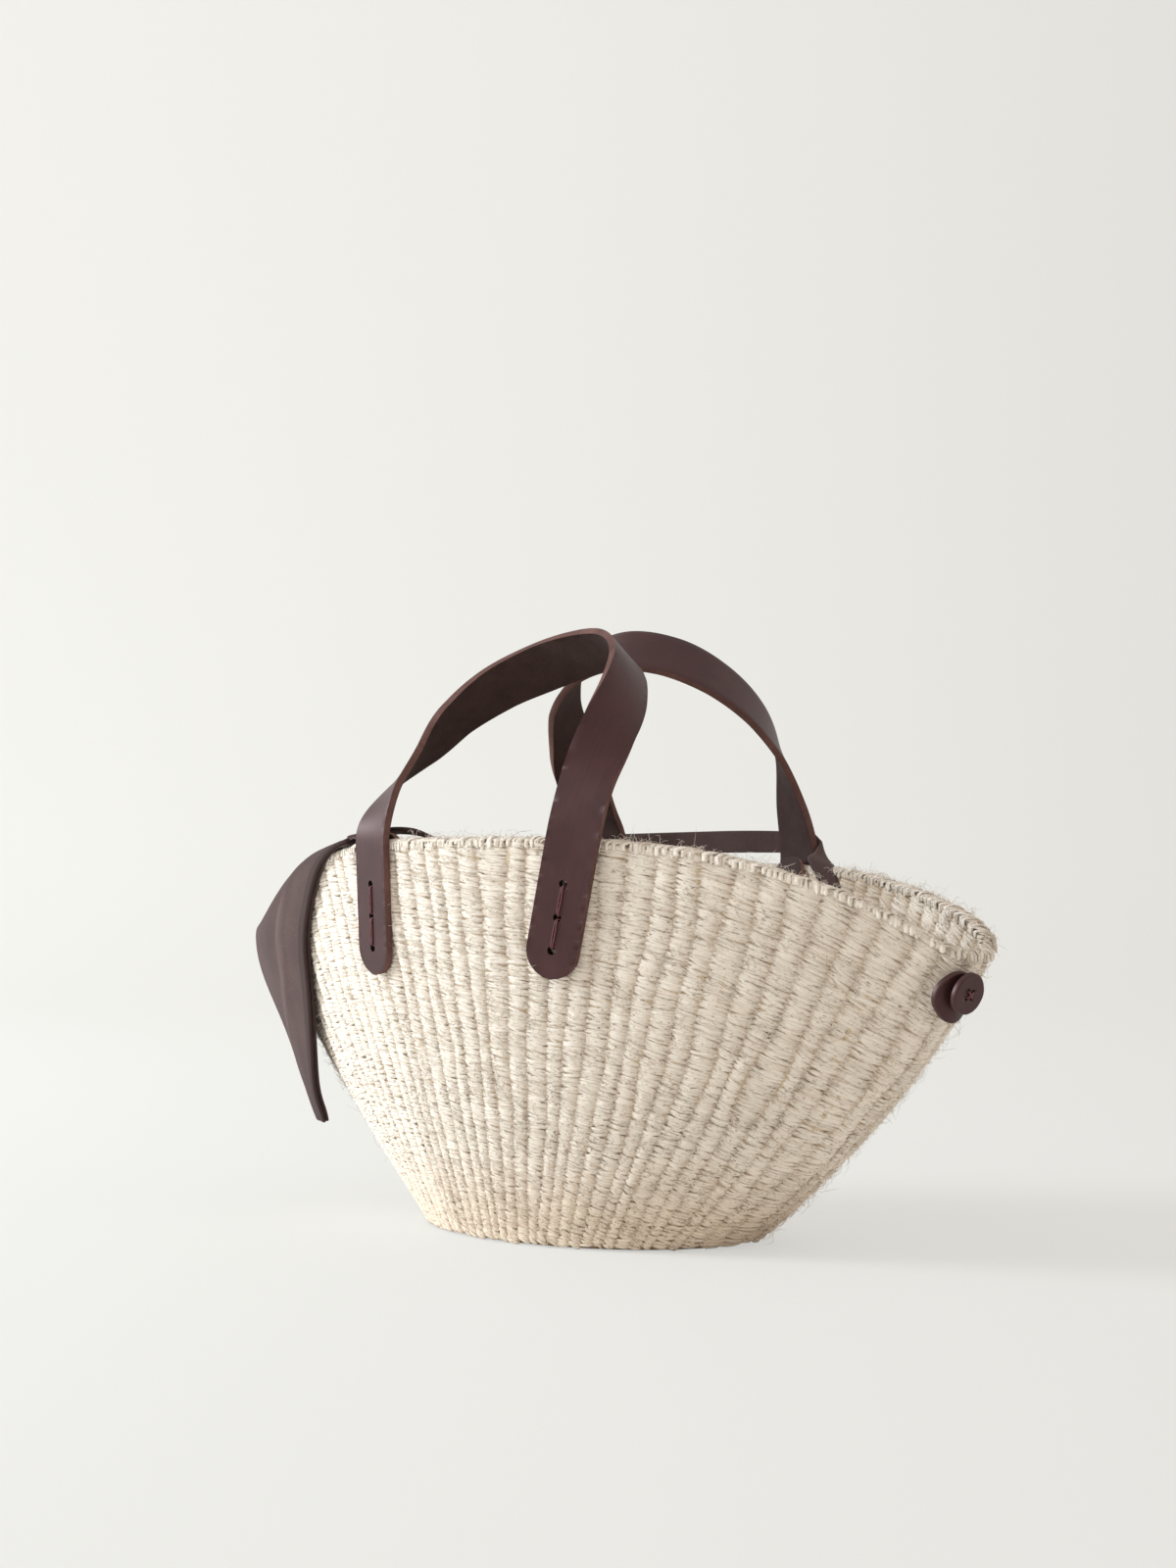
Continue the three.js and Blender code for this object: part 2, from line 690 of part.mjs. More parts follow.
// A point on the rim: across 0 is its outer edge, 1 its inner edge
function overRim(angle, across, lift) {
  const point = wallPoint(angle, 1).lerp(wallPoint(angle, 1, liningShell), across);
  const { out } = wallFrame(angle, 0.99);
  point.addScaledVector(vec(out.x, out.y, 0).normalize(), (0.5 - across) * rimCornerSpread * lift);
  return point.add(vec(0, 0, lift + rimCrown * (1 - Math.abs(2 * across - 1))));
}

// Moves a point straight out until it clears the outside of the wall by the given distance
function clearOfWall(point, clearance) {
  let nearest = Infinity;
  let place = 0;
  for (let angle = -Math.PI; angle < 0; angle += 0.006) {
    const wall = wallPoint(angle, Math.min(point.z / rimHeight(angle), 1));
    const distance = Math.hypot(point.x - wall.x, point.y - wall.y);
    if (distance < nearest) {
      nearest = distance;
      place = angle;
    }
  }
  const level = Math.min(point.z / rimHeight(place), 0.995);
  const { origin, out } = wallFrame(place, level);
  const flat = vec(out.x, out.y, 0).normalize();
  const height = vec(point.x - origin.x, point.y - origin.y, 0).dot(flat);
  return point.clone().addScaledVector(flat, Math.max(clearance - height, 0));
}

// The tail hangs between its two edges, creased outwards along its middle
function tailPoint(t, u) {
  const crease = tailCreaseBulge * Math.sin(Math.PI * u) * (1 - t);
  const point = frontEdge.getPoint(t).lerp(backEdge.getPoint(t), u);
  return point.addScaledVector(tailOut, crease);
}

function sashFold() {
  const columns = 15;
  const fallShares = [0, 0.2, 0.45, 0.72, 0.9];
  const insideShares = [0.25, 0.6, 1];
  const frontDrop = rimHeight(foldFrontAngle * DEG) - tailTop;
  const grid = [];
  for (let k = 0; k < columns; k++) {
    const degrees = mix(foldStartAngle, foldEndAngle, k / (columns - 1));
    const angle = degrees * DEG;
    const lift = sashLift + foldRimLift * smooth((foldStartAngle - degrees) / foldLiftRun);
    const before = (degrees - foldStartAngle) / (foldFrontAngle - foldStartAngle);
    const beyond = Math.max((degrees - foldFrontAngle) / (foldEndAngle - foldFrontAngle), 0);
    const corner = overRim(angle, 0, lift);
    const free = tailPoint(0, beyond).setZ(tailTop + tailGap);
    const drop = foldFrontDepth + frontDrop * Math.min(before, 1) ** 2;
    const near = offWall(angle, drop, sashLift, crestShell);
    const lower = near.lerp(free, smooth((before - foldFreeFrom) / (1 - foldFreeFrom)));
    const shoulder = vec(lower.x, lower.y, mix(lower.z, corner.z, mix(...foldShoulders, beyond)));
    shoulder.lerp(corner, foldShoulderPull);
    const curve = new THREE.QuadraticBezierCurve3(lower, shoulder, corner);
    const outside = fallShares.map((t) => clearOfWall(curve.getPoint(t), sashLift + sashFall));
    const inside = insideShares.map((share) => (
      offWall(angle, foldInsideDepth * share, sashLift, liningShell)
    ));
    grid.push([...outside, corner, overRim(angle, 0.5, lift), overRim(angle, 1, lift), ...inside]);
  }
  const mesh = new THREE.Mesh(sheetSolid(grid, sashThickness), fabric);
  mesh.name = 'sash_rim_fold';
  return mesh;
}

// Rows of the tail hold a share of the way from its top to its tip and the share of its thickness
function sashTail() {
  const rolledEdge = [0, 0.05];
  const columns = [...rolledEdge, 0.3, 0.55, 0.8, 1];
  const roundedTop = [[0, 0.35], [0.004, 0.7], [0.011, 1]];
  const even = [0.1, 0.22, 0.35, 0.48, 0.6, 0.72, 0.82, 0.9, 0.96].map((t) => [t, 1]);
  const rows = [...roundedTop, ...even, [1, 0.6]];
  const clearance = sashEdgeThickness / 2 + seatGap + tailSlack;
  const grid = rows.map(([t]) => columns.map((u) => clearOfWall(tailPoint(t, u), clearance)));
  const geometry = sheetSolid(grid, (r, c) => {
    const [t, share] = rows[r];
    const rolled = sashEdgeThickness * Math.min(tailTopEdgeShare + t * 2, 1);
    const plain = c < rolledEdge.length ? rolled : sashThickness;
    return share * mix(plain, tailTipThickness, smooth((t - tailTipFrom) / (1 - tailTipFrom)));
  });
  const mesh = new THREE.Mesh(geometry, fabric);
  mesh.name = 'sash_tail';
  return mesh;
}

// A strip of the sash through stations of centre, direction across and width
function sashStrip(stations, name) {
  const grid = stations.map(([centre, across, width]) => {
    const side = across.clone().normalize();
    return [-0.5, 0, 0.5].map((u) => centre.clone().addScaledVector(side, u * width));
  });
  const mesh = new THREE.Mesh(sheetSolid(grid, sashThickness), fabric);
  mesh.name = name;
  return mesh;
}

// Band behind both legs of the back handle, just above the rim. It turns in beyond each leg.
const backHinge = handleHinge(1);
const bandLow = backHinge.z + bandAboveHinge;
const bandMiddle = bandLow + sashBandWidth / 2;
const bandReach = strapWidth / 2 + bandSideReach;
const bandTurn = [[0, -6], [1.2, -3.4], [3.4, -1.2], [6, 0]];
const insideShift = 6.7;
const lyingLevel = 0.8;
const lyingWidth = 1.22;
const besideBand = (p) => Math.abs(p.z - bandMiddle) < sashBandWidth;
const handleBack = Math.max(...handleStations(1).flatMap(strapRing).filter(besideBand).map((p) => p.y));
const bandY = handleBack + seatGap + sashThickness / 2;

function sashBand() {
  const upright = vec(0, 0, 1);
  const leftTurn = bandTurn.map(([x, shift]) => [backHinge.left - bandReach + x, shift, 0]);
  const rightTurn = bandTurn.map(([x, shift]) => [backHinge.right + bandReach - x, shift, 0]).reverse();
  const middle = [[backHinge.left, 0, 0], [0, 0, bandMiddleLift], [backHinge.right, 0, 0]];
  const stations = [...leftTurn, ...middle, ...rightTurn].map(([x, shift, lift]) => (
    [vec(x, bandY + shift, bandMiddle + lift), upright, sashBandWidth]
  ));
  return sashStrip(stations, 'sash_band');
}

// A station of the sash inside the bag: its steps and its width are in widths of the band
function insideStation(from, steps, across, width) {
  const centre = from.clone().addScaledVector(vec(...steps), sashBandWidth);
  return [centre, vec(...across), width * sashBandWidth];
}

// Inside the bag the sash runs from the fold across to the back handle's left leg
function sashInsideLeft() {
  const edge = overRim(foldStartAngle * DEG, 0.5, sashLift);
  const back = vec(backHinge.left - bandReach, bandY - insideShift, bandMiddle);
  const stations = [
    insideStation(edge, [0.33, 0.18, 0.11], [0.2, 1, 0], 1.44),
    insideStation(edge, [1.44, 0.28, 0.31], [0.15, 1, 0], 1.44),
    insideStation(edge, [2.89, 0.5, 0.36], [0.2, 1, -0.2], 1.44),
    insideStation(edge, [4.11, 1, 0], [0.5, 1, -0.5], 1.44),
    insideStation(edge, [4.89, 2, -1], [0.9, 0.7, -0.4], 1.44),
    insideStation(edge, [4.89, 3.56, -2.22], [1, 0.3, -0.1], 1.44),
    insideStation(edge, [4, 6.22, -3], [1, 0.2, 0], 1.44),
    insideStation(edge, [2.67, 9.33, -3], [1, 0.1, 0], 1.44),
    insideStation(back, [-0.22, -1.89, -1.33], [1, 0, 0.5], 1.22),
    insideStation(back, [-0.28, -0.89, -0.16], [0.6, 0, 1], 1.11),
    insideStation(back, [-0.13, -0.18, 0], [0, 0, 1], 1),
  ];
  return sashStrip(stations, 'sash_inside_left');
}

// On the right it drops over the back rim and lies down the inside of the wall towards the tip
function sashInsideRight() {
  const start = vec(backHinge.right + bandReach, bandY - insideShift, bandMiddle);
  const lying = (degrees, drop, lift) => {
    const centre = offWall(degrees * DEG, drop * sashBandWidth, lift * sashLift, liningShell);
    const { up } = wallFrame(degrees * DEG, lyingLevel);
    return [centre, up, lyingWidth * sashBandWidth];
  };
  const stations = [
    insideStation(start, [0.09, -0.09, 0], [0, 0, 1], 1),
    insideStation(start, [0.29, -0.67, -0.03], [-0.2, 0.3, 1], 1),
    insideStation(start, [0.51, -1.33, -0.56], [-0.3, 0.5, 1], 1.11),
    lying(57, 1.56, 2.1),
    lying(49, 2.44, 1.3),
    lying(41, 3.44, 1),
    lying(33, 4.22, 1),
  ];
  return sashStrip(stations, 'sash_inside_right');
}

// Assembly
const bag = new THREE.Group();
bag.name = 'handbag';

const basket = new THREE.Mesh(drilled(basketSolid(), [...legs.flatMap(wallHoles), shankHole()]), fibre);
basket.name = 'basket';
bag.add(basket);

for (const leg of legs) {
  bag.add(strapEnd(leg), innerPatch(leg), lacing(leg));
}
bag.add(handle(-1, 'front_handle'), handle(1, 'back_handle'));
bag.add(buttonDisc(), button(), buttonStitches(), buttonShank());
bag.add(sashFold(), sashTail(), sashBand(), sashInsideLeft(), sashInsideRight());

export default bag;
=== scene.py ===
import math

import bpy
import numpy as np
from mathutils import Matrix, Vector


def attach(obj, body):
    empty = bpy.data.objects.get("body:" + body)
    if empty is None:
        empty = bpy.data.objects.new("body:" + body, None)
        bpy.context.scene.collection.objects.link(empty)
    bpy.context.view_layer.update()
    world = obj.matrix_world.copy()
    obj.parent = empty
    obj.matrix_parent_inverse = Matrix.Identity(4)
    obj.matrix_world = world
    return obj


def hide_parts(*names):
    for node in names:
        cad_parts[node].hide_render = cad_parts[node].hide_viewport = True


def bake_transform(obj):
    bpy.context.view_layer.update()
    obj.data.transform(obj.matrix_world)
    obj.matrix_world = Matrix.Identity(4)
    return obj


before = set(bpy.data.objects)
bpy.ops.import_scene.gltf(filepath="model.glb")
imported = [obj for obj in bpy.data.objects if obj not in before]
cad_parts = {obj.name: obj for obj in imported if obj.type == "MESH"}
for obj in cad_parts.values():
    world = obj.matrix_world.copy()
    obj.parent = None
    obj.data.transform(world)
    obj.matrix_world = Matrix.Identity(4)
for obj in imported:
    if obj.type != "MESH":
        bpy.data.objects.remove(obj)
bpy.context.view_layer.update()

# A woven basket handbag: twined yarn walls, two flat leather handles, a leather button and a fabric sash.
# Metres. +X runs along the bag to the buttoned end, -Y is the front wall, +Z is up.

MM = 0.001

# Camera
CAMERA_TURN = 0.7207
CAMERA_PITCH = 0.0335
CAMERA_SPOT = (0.658, -0.7517, 0.1472)
CAMERA_LENS = 55.955
CAMERA_SENSOR = 36

# Basket shape, from the base to the boat-shaped rim
RIM_LENGTH = 186.5 * MM
RIM_WIDTH = 79.5 * MM
RIM_SIDE_HEIGHT = 157.5 * MM
RIM_TIP_HEIGHT = 116 * MM
BACK_RIM_DROP = 10.5 * MM
RIM_LENS_POWER = 1.51
RIM_END_ROUNDNESS = 0.71
RIM_SINK_POWER = 3.4
TIP_WIDTH = 20 * MM
TIP_SPREAD = 16
SASH_PRESS_DEPTH = 4.5 * MM
SASH_PRESS_ANGLE = -150
SASH_PRESS_SPREAD = 24
BASE_LENGTH = 77.5 * MM
BASE_WIDTH = 54.5 * MM
END_BULGE = 12 * MM
SIDE_BULGE = 1.5 * MM
FULL_ANGLE = 22
FULL_SPREAD = 18
FULL_MOST = (1.5, 2.6, 4.5)
WALL = 5 * MM
FLOOR = 5 * MM
RIBS = 78

# Weft yarn that wraps the ribs
YARN_PITCH = 1.12 * MM
INNER_PITCH = 1.5 * MM
SLOPE_LENGTH = 0.163
YARN_HALF_DEPTH = 0.5 * MM
YARN_SLANT = 0.75
VALLEY_DEPTH = 1.1 * MM
RIM_CROWN = 1.2 * MM
SHARED_SEED = 99
LOOPS_PER_RIB = 9
HAIRS = 9000
RIM_HAIRS = 6000
HAIR_RADIUS = 0.075 * MM

# Leather straps
STRAP_WIDTH = 21.5 * MM
STRAP_THICKNESS = 2.8 * MM
GRAIN_LENGTH = 340 * MM
ARCH_STEPS = 24
STRAP_END_LENGTH = 54 * MM
LEG_PLACES = {
    "front_left": (-53.5 * MM, -1), "front_right": (53.5 * MM, -1),
    "back_left": (-53.5 * MM, 1), "back_right": (50.5 * MM, 1),
}
HINGE_ABOVE_RIM = 3.6 * MM
HANDLE_START = 17 * MM
HANDLE_RELEASE = 3 * MM
LEANS = {"front_left": 8, "front_right": 15, "back_left": -15, "back_right": 0}

# Middle of each handle from its left leg to its right. A row holds a share of half the span along it, of
# the rise inwards and of the rise upwards, then the turn of its grain side in degrees: 0 outwards, 90 up.
HANDLE_RISE = {-1: 73.2 * MM, 1: 85.8 * MM}
HANDLE_LINES = {
    -1: [
        (-0.92, 0.1, 0.238, 39.6), (-0.803, 0.264, 0.446, 66.3), (-0.675, 0.428, 0.649, 94.3),
        (-0.446, 0.576, 0.811, 121.4), (-0.126, 0.672, 0.917, 136.7), (0.237, 0.695, 0.982, 132.4),
        (0.605, 0.65, 0.992, 123.6), (0.898, 0.515, 0.89, 115.7), (1.066, 0.337, 0.718, 87.4),
        (1.117, 0.161, 0.507, 45.6), (1.083, 0.037, 0.26, 16.7),
    ],
    1: [
        (-0.885, 0.153, 0.177, 9.7), (-0.786, 0.346, 0.336, 27.5), (-0.729, 0.49, 0.547, 73.5),
        (-0.625, 0.618, 0.759, 109), (-0.336, 0.706, 0.922, 132.1), (0.064, 0.704, 0.998, 137.5),
        (0.446, 0.601, 0.969, 125.6), (0.734, 0.449, 0.86, 103.1), (0.919, 0.286, 0.695, 77.6),
        (0.997, 0.15, 0.483, 49.8), (0.994, 0.057, 0.243, 24.1),
    ],
}

HOLE_RADIUS = 1.7 * MM
HOLE_DEPTHS = (17 * MM, 30 * MM, 43 * MM)
SEAT_GAP = 0.3 * MM
PATCH_WIDTH = 18 * MM
PATCH_THICKNESS = 1.8 * MM
PATCH_RISE = 3.4 * MM
PATCH_BOTTOM = -52 * MM
PATCH_BEND = 1.6 * MM
PATCH_SHIFT = 3.5
LACING_RADIUS = 0.31 * MM

# Button
BUTTON_ANGLE = -7
BUTTON_LEVEL = 0.89
BUTTON_TILT = 10
BUTTON_TURN = 26
DISC_RADIUS = 9.6 * MM
DISC_THICKNESS = 2.2 * MM
DISC_BEND = 17 * MM
DISC_DROP = 2.7 * MM
BUTTON_RADIUS = 7.7 * MM
BUTTON_THICKNESS = 2.4 * MM
BUTTON_STANDOFF = 1.9 * MM
STITCH_SPAN = 2.6 * MM
STITCH_RADIUS = 0.34 * MM
STITCH_HOLE_RADIUS = 0.8 * MM
SHANK_RADIUS = 1.2 * MM
SHANK_REACH = 13 * MM

# Sash
SASH_LIFT = 1.6 * MM
SASH_LAYER = 0.8 * MM
SASH_GAP = 0.62 * MM
FOLD_ANGLES = (-114, -160)
TAIL_FRONT = [(-126, -44, 117), (-127.5, -39, 98), (-132.5, -32.5, 74), (-136, -27, 50), (-134.8, -21.8, 35)]
TAIL_BACK = [(-203, -4, 117), (-197.5, -6, 100), (-176, -10, 76), (-157, -14.5, 50), (-143.6, -19.4, 35)]
# Where the tail's crease runs across it, from its top down to its tip
CREASE = [0.33, 0.32, 0.36, 0.47, 0.64, 0.85, 1.05, 1.2, 1.3]
# The rolled hem, from its turned-in edge out and round, in millimetres: place across the sash, half the gap
HEM = [
    (4.0, 0.45), (2.2, 0.45), (0.8, 0.45), (0.15, 0.62), (0.0, 0.92),
    (0.2, 1.22), (0.8, 1.38), (2.0, 1.32), (3.4, 1.05), (5.0, 0.75),
]
# Darkens the rolled hems: painted shade.
HEM_SHADE = -0.8
BAND_WIDTH = 9 * MM
BAND_ABOVE_HINGE = 2.2 * MM
BAND_REACH = 16.25 * MM
BAND_THICKNESS = 1.7 * MM

# Light
LAMP_SPOT = (-1.78, -1.3, 0.95)
LAMP_AIM = (0, 0, 0.08)
LAMP_SIZE = 1.0
LAMP_ENERGY = 60
LAMP_COLOUR = (0.84, 0.94, 1.0)
SURROUND_STRENGTH = 0.75
SURROUND_COLOUR = (1, 0.925, 0.84, 1)
SURROUND_SEEN = (1.16, 1.16, 1.13, 1)
VIEW_REACH = (0.25, 0.33)

CREST = (RIM_LENGTH, RIM_WIDTH, BASE_LENGTH, BASE_WIDTH)
LINING = (RIM_LENGTH - 1.5 * WALL, RIM_WIDTH - WALL, BASE_LENGTH - WALL, BASE_WIDTH - WALL)


def mix(a, b, t):
    return a + (b - a) * t


def smooth(t):
    k = np.clip(t, 0, 1)
    return k * k * (3 - 2 * k)


def unit(v):
    return v / np.maximum(np.linalg.norm(v, axis=-1, keepdims=True), 1e-12)


# The wall as a surface. Angle 0 points to +X, -90 degrees to the front; level 0 is the floor and 1 the rim.
def rim_height(angle):
    """Highest at the sides, lower at the tips and at the back, and pressed down under the sash."""
    lift = 1 - np.abs(np.cos(angle)) ** RIM_SINK_POWER
    press = math.radians(SASH_PRESS_ANGLE)
    turn = np.degrees(np.arctan2(np.sin(angle - press), np.cos(angle - press)))
    pressed = SASH_PRESS_DEPTH * np.exp(-((turn / SASH_PRESS_SPREAD) ** 2))
    sides = RIM_TIP_HEIGHT + (RIM_SIDE_HEIGHT - RIM_TIP_HEIGHT) * lift
    return sides - BACK_RIM_DROP * np.maximum(np.sin(angle), 0) - pressed


def tip_fullness(angle):
    """The back rim stands fuller beside the buttoned tip: 1 where it does so most, 0 elsewhere."""
    turn = np.degrees(np.arctan2(np.sin(angle), np.cos(angle)))
    return np.exp(-(((turn - FULL_ANGLE) / FULL_SPREAD) ** 2)) * smooth((turn - 2) / 12)


def wall_point(angle, level, shell=CREST):
    """Points of the outside of the wall, or of its lining."""
    rim_length, rim_width, base_length, base_width = shell
    angle, level = np.broadcast_arrays(np.asarray(angle, float), np.asarray(level, float))
    c, s = np.cos(angle), np.sin(angle)
    lens = np.sign(s) * np.maximum(1 - np.abs(c) ** RIM_LENS_POWER, 0) ** RIM_END_ROUNDNESS
    from_tip = np.degrees(np.arcsin(np.abs(s))) / TIP_SPREAD
    blunt = np.sign(s) * TIP_WIDTH * np.sqrt(np.abs(s)) * np.exp(-(from_tip**2))
    bulge = 4 * level * (1 - level)
    x = mix(base_length, rim_length, level) * c + bulge * END_BULGE * c
    y = mix(base_width * s, rim_width * lens + blunt, level) + bulge * SIDE_BULGE * s
    full = tip_fullness(angle) * level**3
    fuller_x, fuller_y, fuller_z = [full * most * MM for most in FULL_MOST]
    return np.stack([x + fuller_x, y + fuller_y, rim_height(angle) * level + fuller_z], -1)


def wall_out(angle, level, shell=CREST):
    """Directions straight out of the wall."""
    step = 0.004
    along = wall_point(angle + step, level, shell) - wall_point(angle - step, level, shell)
    rise = wall_point(angle, level + step, shell) - wall_point(angle, level - step, shell)
    return unit(np.cross(along, rise))


def wall_frame(angle, level, lean=0.0):
    """Origin on the wall, directions across and up it, and straight out of it."""
    origin = wall_point(angle, level)
    step = 0.004
    along = wall_point(angle + step, level) - wall_point(angle - step, level)
    out = wall_out(angle, level)
    across = np.array([along[0], along[1], 0])
    across = unit(across - out * (across @ out))
    up = np.cross(out, across)
    turn = np.array(Matrix.Rotation(-math.radians(lean), 3, Vector(out)))
    return {"origin": origin, "across": turn @ across, "up": turn @ up, "out": out, "angle": angle}


def on_frame(place, across, up, out):
    """Points so far across, up and out of a frame on the wall."""
    flat = place["origin"] + place["across"] * across[:, None]
    return flat + place["up"] * up[:, None] + place["out"] * out[:, None]


def wall_near(angle, shell=CREST):
    """Points of the upper wall close to an angle."""
    around, levels = np.meshgrid(np.arange(-14, 15) * 0.012, np.arange(0.55, 1.001, 0.025))
    return wall_point(angle + around, levels, shell)


def rib_angles():
    """The angles of crests and valleys in turn, evenly spaced round the rim."""
    fine = np.linspace(0, 2 * math.pi, 1441)
    rim = wall_point(fine, 1.0)[:, :2]
    lengths = np.r_[0, np.cumsum(np.linalg.norm(np.diff(rim, axis=0), axis=1))]
    return np.interp(np.arange(2 * RIBS + 1) / (2 * RIBS) * lengths[-1], lengths, fine)


COLUMNS = rib_angles()


def column_angle(column):
    """Angle of a crest (even) or valley (odd) column, or of a place between them."""
    turns = np.floor(column / (2 * RIBS))
    return np.interp(column - turns * 2 * RIBS, np.arange(2 * RIBS + 1), COLUMNS) + turns * 2 * math.pi


# Meshes and modifiers
def mesh_piece(name, points, faces):
    """A piece from points and a list of face arrays, each array holding faces with equally many corners."""
    mesh = bpy.data.meshes.new(name)
    corners = np.concatenate([f.ravel() for f in faces])
    totals = np.concatenate([np.full(len(f), f.shape[1]) for f in faces])
    mesh.vertices.add(len(points))
    mesh.vertices.foreach_set("co", np.asarray(points, np.float32).ravel())
    mesh.loops.add(len(corners))
    mesh.loops.foreach_set("vertex_index", corners.astype(np.int32))
    mesh.polygons.add(len(totals))
    mesh.polygons.foreach_set("loop_start", np.r_[0, np.cumsum(totals)[:-1]].astype(np.int32))
    mesh.polygons.foreach_set("loop_total", totals.astype(np.int32))
    mesh.update(calc_edges=True)
    mesh.validate()
    mesh.shade_smooth()
    piece = bpy.data.objects.new(name, mesh)
    bpy.context.scene.collection.objects.link(piece)
    return piece


def grid_faces(rows, cols, wrap=False):
    """Quads of a grid of points, its columns closed into a ring where wrap is true."""
    r, c = np.meshgrid(np.arange(rows - 1), np.arange(cols if wrap else cols - 1), indexing="ij")
    low, high = r * cols, (r + 1) * cols
    after = (c + 1) % cols
    return np.stack([low + c, low + after, high + after, high + c], -1).reshape(-1, 4)


def pole_faces(rows, cols):
    """Triangles that close a ringed grid at a pole before its first row and at another past its last."""
    place = np.arange(cols)
    after = (place + 1) % cols
    last_row = (rows - 1) * cols
    start = np.stack([np.full(cols, rows * cols), after, place], -1)
    end = np.stack([np.full(cols, rows * cols + 1), last_row + place, last_row + after], -1)
    return np.concatenate([start, end])


def add_uv(piece, uv_of_vertex):
    """A UV map with one place for each vertex."""
    mesh = piece.data
    layer = mesh.uv_layers.new(name="Surface")
    corner = np.zeros(len(mesh.loops), np.int32)
    mesh.loops.foreach_get("vertex_index", corner)
    layer.uv.foreach_set("vector", np.asarray(uv_of_vertex, np.float32)[corner].ravel())


def add_values(piece, name, values):
    attribute = piece.data.attributes.new(name, "FLOAT", "POINT")
    attribute.data.foreach_set("value", np.asarray(values, np.float32))


def only(piece):
    """Makes a piece the one selected and active object."""
    bpy.ops.object.select_all(action="DESELECT")
    piece.select_set(True)
    bpy.context.view_layer.objects.active = piece


def finish_with(piece, kind, **settings):
    """Adds a modifier, sets it and applies it."""
    only(piece)
    modifier = piece.modifiers.new(kind.title(), kind)
    for key, value in settings.items():
        setattr(modifier, key, value)
    bpy.ops.object.modifier_apply(modifier=modifier.name)
    return piece


def paint(piece, *materials):
    piece.data.materials.clear()
    for material in materials:
        piece.data.materials.append(material)
    return piece


def swept_strands(centres, sides, ups, half_sides, half_ups, section):
    """Closed strands along centres (n, rings, 3), a pole beyond each end; section lists (side, up) shares."""
    n, rings = centres.shape[:2]
    section = np.asarray(section, float)
    k = len(section)
    body = (
        centres[:, :, None]
        + sides[:, :, None] * (half_sides[:, :, None, None] * section[None, None, :, 0:1])
        + ups[:, :, None] * (half_ups[:, :, None, None] * section[None, None, :, 1:2])
    )
    first = centres[:, 0] * 1.35 - centres[:, 1] * 0.35
    last = centres[:, -1] * 1.35 - centres[:, -2] * 0.35
    points = np.concatenate([body.reshape(n, -1, 3), first[:, None], last[:, None]], 1)
    each = rings * k + 2
    offsets = (np.arange(n) * each)[:, None, None]
    quads = (grid_faces(rings, k, wrap=True) + offsets).reshape(-1, 4)
    caps = (pole_faces(rings, k) + offsets).reshape(-1, 3)
    along = np.r_[np.repeat(np.linspace(0, 1, rings), k), 0, 1]
    around = np.r_[np.tile(np.arange(k) / k, rings), 0, 0]
    uv = np.tile(np.stack([along, around], -1), (n, 1))
    return points.reshape(-1, 3), [quads, caps], uv, each


def round_strands(name, centres, radius, guide):
    """Closed round threads along rows of centres, one beside the other in one piece."""
    along = unit(np.gradient(centres, axis=1))
    across = unit(np.cross(along, np.broadcast_to(guide, along.shape)))
    ups = np.cross(across, along)
    turn = np.linspace(0, 2 * math.pi, 8, endpoint=False)
    section = np.stack([np.sin(turn), np.cos(turn)], -1)
    half = np.full(centres.shape[:2], radius)
    points, faces, uv, _ = swept_strands(centres, across, ups, half, half, section)
    piece = mesh_piece(name, points, faces)
    add_uv(piece, uv)
    return paint(piece, THREAD)


# Shader nodes
def socket_name(key):
    return key.replace("_", " ").title().replace("Ior", "IOR")


class Number:
    """A number that varies over a surface. Sums and products of it add maths nodes."""

    def __init__(self, finish, socket):
        self.finish = finish
        self.socket = socket

    def maths(self, kind, first, *others):
        return self.finish.node("ShaderNodeMath", {"operation": kind}, first, *others)

    def __add__(self, other):
        return self.maths("ADD", self, other)

    def __radd__(self, other):
        return self.maths("ADD", other, self)

    def __sub__(self, other):
        return self.maths("SUBTRACT", self, other)

    def __rsub__(self, other):
        return self.maths("SUBTRACT", other, self)

    def __mul__(self, other):
        return self.maths("MULTIPLY", self, other)

    def __rmul__(self, other):
        return self.maths("MULTIPLY", other, self)

    def __pow__(self, other):
        return self.maths("POWER", self, other)

    def sine(self):
        return self.maths("SINE", self)

    def between(self, low, high):
        """0 below low, 1 above high, smooth from one to the other."""
        settings = {"interpolation_type": "SMOOTHSTEP"}
        return self.finish.node("ShaderNodeMapRange", settings, self, low, high, 0.0, 1.0)


